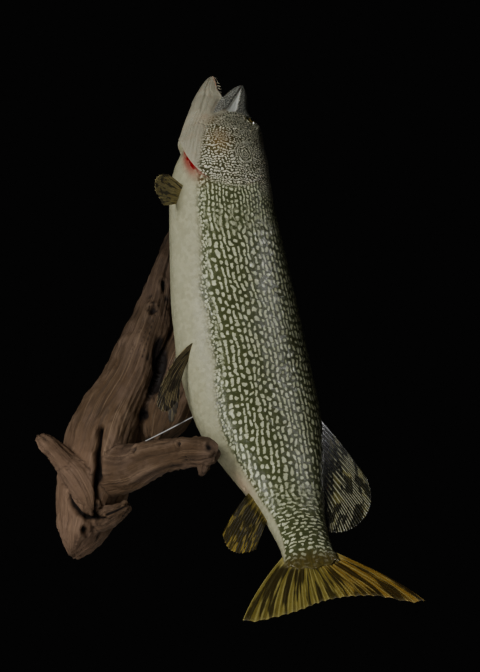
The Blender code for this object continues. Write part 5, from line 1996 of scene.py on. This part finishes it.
def fin_finish(key):
    web, ray, dark, warm, pale_edge = FIN_TONES[key]
    glossy = key == "dorsal_fin"
    look = Look(key + "_membrane")
    fan, reach = look.attribute("fan"), look.attribute("reach")
    u, v = look.parts(fan)[:2]
    blotch, warm_share = fin_patches(look, key, fan, reach, u, v)
    base = look.mottled(look.noise(reach, 90.0, 3.0, 0.6), web, [0.70 * c for c in web])
    base = look.wash(base, warm_share, 0.8, warm)
    # The dorsal fin's high ray share also carries the painted glint along its rays.
    ray_share = {"pelvic_fin": 0.85, "dorsal_fin": 0.75}.get(key, 0.38)
    base = look.wash(base, ray_mask(look, u, v, RAYS.get(key, PAIRED_RAYS)), ray_share, ray)
    base = look.wash(base, blotch, 0.88, dark)
    fine = look.drawn(reach, (300.0, 1400.0, 1.0), 3.0, 0.6)
    base = look.wash(base, look.ramp(fine, 0.45, 0.8), 0.30, [0.5 * c for c in dark])
    if pale_edge:
        base = look.wash(base, look.ramp(v, 0.93, 0.995), pale_edge, (170, 160, 112))
    look.to("Base Color", look.wash(base, look.ramp(v, 0.16, 0.02), 0.45, ray))
    look.roughness(look.noise(reach, 420.0), *((0.18, 0.32) if glossy else (0.32, 0.50)))
    look.to("Normal", look.bump(fine, 0.00025, 0.7))
    look.set(Coat_Weight=0.9 if glossy else 0.0, Coat_Roughness=0.12)
    look.set(Specular_IOR_Level=0.5 if glossy else 0.22)
    look.set(Subsurface_Weight=0.10, Subsurface_Radius=(0.004, 0.003, 0.0015), Subsurface_Scale=0.4)
    return look.material


def eye_finish():
    look = Look("pike_eye")
    gaze = look.attribute("gaze")
    x, y = look.parts(gaze)[:2]
    from_axis = look.diagonal(x, y)
    threads = look.noise(look.scaled(gaze, (3.0, 3.0, 0.5)), 6.0, 4.0, 0.7)
    iris = look.mottled(threads, (40, 36, 16), (92, 80, 38))
    iris = look.stain(iris, look.ramp(from_axis, 0.58, 0.74), (30, 28, 18))
    iris = look.stain(iris, look.ramp(y, 0.1, 0.6, 0.0, 0.55), (52, 46, 26))
    pupil = look.ramp(look.plus(from_axis, look.times(x, -0.06)), 0.36, 0.33)
    rim = look.times(look.ramp(from_axis, 0.44, 0.38), look.ramp(from_axis, 0.33, 0.36))
    iris = look.stain(iris, rim, (118, 104, 56))
    look.to("Base Color", look.stain(iris, pupil, (5, 5, 6)))
    look.roughness(threads, 0.10, 0.20)
    look.set(Coat_Weight=1.0, Coat_Roughness=0.02, Specular_IOR_Level=0.6)
    return look.material


def tooth_finish():
    look = Look("enamel")
    share = look.parts(look.attribute("fan"))[0]
    worn = look.noise(look.place(), 900.0, 3.0, 0.6)
    enamel = look.mottled(worn, (226, 218, 196), (204, 190, 156))
    look.to("Base Color", look.stain(enamel, look.ramp(share, 0.30, 0.0), (196, 140, 112)))
    look.roughness(worn, 0.16, 0.32)
    look.to("Normal", look.bump(worn, 0.00008, 0.5))
    look.set(Coat_Weight=0.6, Coat_Roughness=0.10)
    return look.material


def tongue_finish():
    look = Look("tongue")
    place = look.place()
    grainy = look.noise(place, 1300.0, 3.0, 0.6)
    flesh = look.mottled(look.noise(place, 90.0, 3.0, 0.6), (206, 150, 134), (224, 190, 172))
    look.to("Base Color", look.wash(flesh, grainy, 0.3, (176, 104, 92)))
    look.roughness(grainy, 0.25, 0.45)
    look.to("Normal", look.bump(grainy, 0.0003, 0.6))
    look.set(Coat_Weight=0.6, Coat_Roughness=0.12)
    return look.material


def wood_finish():
    look = Look("driftwood_grain")
    grain, place = look.attribute("grain"), look.place()
    across, _, height = look.parts(place)
    groove, worn, streak, back = look.channels("wear_and_groove_shade")
    lines = look.drawn(grain, (6.0, 330.0, 330.0), 5.0, 0.62)
    patches = look.noise(place, 16.0, 4.0, 0.6)
    tone = look.mottled(lines, (46, 33, 21), (108, 84, 58))
    tone = look.wash(tone, look.drawn(grain, (4.0, 60.0, 60.0), 3.0, 0.55), 0.5, (78, 59, 43))
    tone = look.stain(tone, look.ramp(patches, 0.42, 0.66, 0.0, 0.45), (112, 92, 78))
    tone = look.stain(tone, look.ramp(worn, 0.55, 0.9, 0.0, 0.40), (136, 112, 90))
    tone = look.stain(tone, look.ramp(streak, 0.55, 0.8, 0.0, 0.4), (50, 38, 27))
    thread = look.drawn(grain, (5.0, 560.0, 560.0), 3.0, 0.55, (0.3, 0.1, 0.7))
    tone = look.stain(tone, look.ramp(thread, 0.56, 0.70, 0.0, 0.42), (158, 132, 104))
    # Painted shade: the wood gets darker toward the top, in patches, where the fish's shadow falls on it.
    painted_shade_top = look.times(look.ramp(height, -0.02, 0.26), look.ramp(patches, 0.30, 0.60, 0.75, 0.35))
    tone = look.stain(tone, painted_shade_top, (28, 20, 13))
    # Painted light: the wood is made lighter low down and out to the left, where more light falls.
    painted_light_low, outer = look.ramp(height, 0.00, -0.10, 0.0, 0.34), look.ramp(across, 0.01, -0.07, 0.1, 1.0)
    tone = look.stain(tone, look.times(painted_light_low, outer), (158, 126, 102))
    # Painted shade: grooves, cracks, splits and knot holes are darkened by their depth.
    tone = look.stain(tone, look.ramp(groove, 0.18, 0.75), (22, 14, 9))
    fresh = look.mottled(lines, (112, 90, 64), (142, 117, 86))
    look.to("Base Color", look.blend(back, tone, fresh))
    look.roughness(lines, 0.62, 0.86)
    fibres = look.bump(look.drawn(grain, (22.0, 900.0, 900.0), 4.0, 0.6), 0.0012, 0.8)
    look.to("Normal", look.bump(lines, 0.0022, 0.9, fibres))
    look.set(Specular_IOR_Level=0.25)
    return look.material


# Light and dark tone, least and most roughness, and how metallic
WIRE_METAL = ((244, 244, 240), (214, 214, 210), 0.16, 0.30, 0.2)
BOLT_METAL = ((176, 178, 180), (120, 122, 124), 0.30, 0.50, 1.0)


def steel_finish(name, bright, dull, low, high, metallic):
    look = Look(name)
    place = look.place()
    look.to("Base Color", look.mottled(look.noise(place, 260.0, 4.0, 0.65), bright, dull))
    look.roughness(look.noise(place, 900.0, 3.0, 0.6), low, high)
    look.to("Normal", look.bump(look.noise(place, 2200.0, 2.0, 0.6), 0.00004, 0.5))
    look.set(Metallic=metallic)
    return look.material


def floor_finish():
    look = Look("studio_floor")
    place = look.place()
    look.to("Base Color", look.mottled(look.noise(place, 3.0, 4.0, 0.6), (214, 212, 208), (224, 222, 218)))
    look.roughness(look.noise(place, 40.0, 3.0, 0.6), 0.60, 0.75)
    return look.material


# ---------------------------------------------------------------- studio

VIEW_PLACE, VIEW_RISE = (0.19, -1.479, -0.39), 20.0
VIEW_LENS, VIEW_FILM = 32.143, 24.0
FLOOR_LEVEL, FLOOR_SIZE, FLOOR_CELLS = -0.95, 5.0, 40
# Name, place, power in watts and width of each lamp
LAMPS = (
    ("key", (-0.70, -1.70, 0.22), 20.5, 0.70),
    ("sheen", (1.10, -0.52, 0.58), 3.2, 0.20),
    ("low", (-0.35, -1.70, -0.80), 6.5, 0.80),
    ("back", (0.45, 2.10, 0.50), 26.0, 1.60),
)
LAMP_AIM = (0.15, -0.15, 0.10)
SURROUND = 0.0022                            # grey of the dark room around


def build_camera():
    camera_data = bpy.data.cameras.new("camera")
    camera_data.sensor_fit = "VERTICAL"
    camera_data.sensor_height = VIEW_FILM
    camera_data.lens = VIEW_LENS
    camera = bpy.data.objects.new("camera", camera_data)
    camera.location = VIEW_PLACE
    camera.rotation_euler = (math.radians(90 + VIEW_RISE), 0, 0)
    bpy.context.scene.collection.objects.link(camera)
    bpy.context.scene.camera = camera


def build_lights():
    for name, place, power, size in LAMPS:
        lamp = bpy.data.lights.new(name, "AREA")
        lamp.energy = power
        lamp.shape = "DISK"
        lamp.size = size
        holder = bpy.data.objects.new(name, lamp)
        holder.location = place
        holder.visible_diffuse = name != "sheen"         # the sheen only shows in the wet gloss
        holder.visible_glossy = name != "back"           # the back light only softens the far side
        direction = np.array(LAMP_AIM) - np.array(place)
        yaw = math.atan2(direction[0], direction[1])
        pitch = math.atan2(direction[2], math.hypot(direction[0], direction[1]))
        holder.rotation_euler = (math.pi / 2 + pitch, 0, -yaw)
        bpy.context.scene.collection.objects.link(holder)

    world = bpy.data.worlds.new("studio")
    world.use_nodes = True
    world.node_tree.nodes["Background"].inputs[0].default_value = (SURROUND, SURROUND, SURROUND, 1)
    bpy.context.scene.world = world


def build_floor():
    edge = np.linspace(-FLOOR_SIZE / 2, FLOOR_SIZE / 2, FLOOR_CELLS + 1)
    x, y = np.meshgrid(edge, edge)
    work = Patchwork()
    ids = work.add(np.stack([x + LAMP_AIM[0], y, np.full_like(x, FLOOR_LEVEL)], -1))
    work.weave(ids, np.stack([x, y], -1) / FLOOR_SIZE + 0.5)
    mesh = work.mesh("studio_floor")
    floor = bpy.data.objects.new("studio_floor", mesh)
    mesh.materials.append(floor_finish())
    bpy.context.scene.collection.objects.link(floor)


# ---------------------------------------------------------------- all of it

def main():
    skin_look = fish_finish()
    build_skin(skin_look)
    build_scales(skin_look)
    build_fins({key: fin_finish(key) for key in FIN_TONES})
    build_eyes(eye_finish())
    build_teeth(tooth_finish())
    build_tongue(tongue_finish())
    build_driftwood(wood_finish())
    build_fixings(steel_finish("bright_wire", *WIRE_METAL), steel_finish("zinc_bolt", *BOLT_METAL))
    build_camera()
    build_lights()
    build_floor()


main()
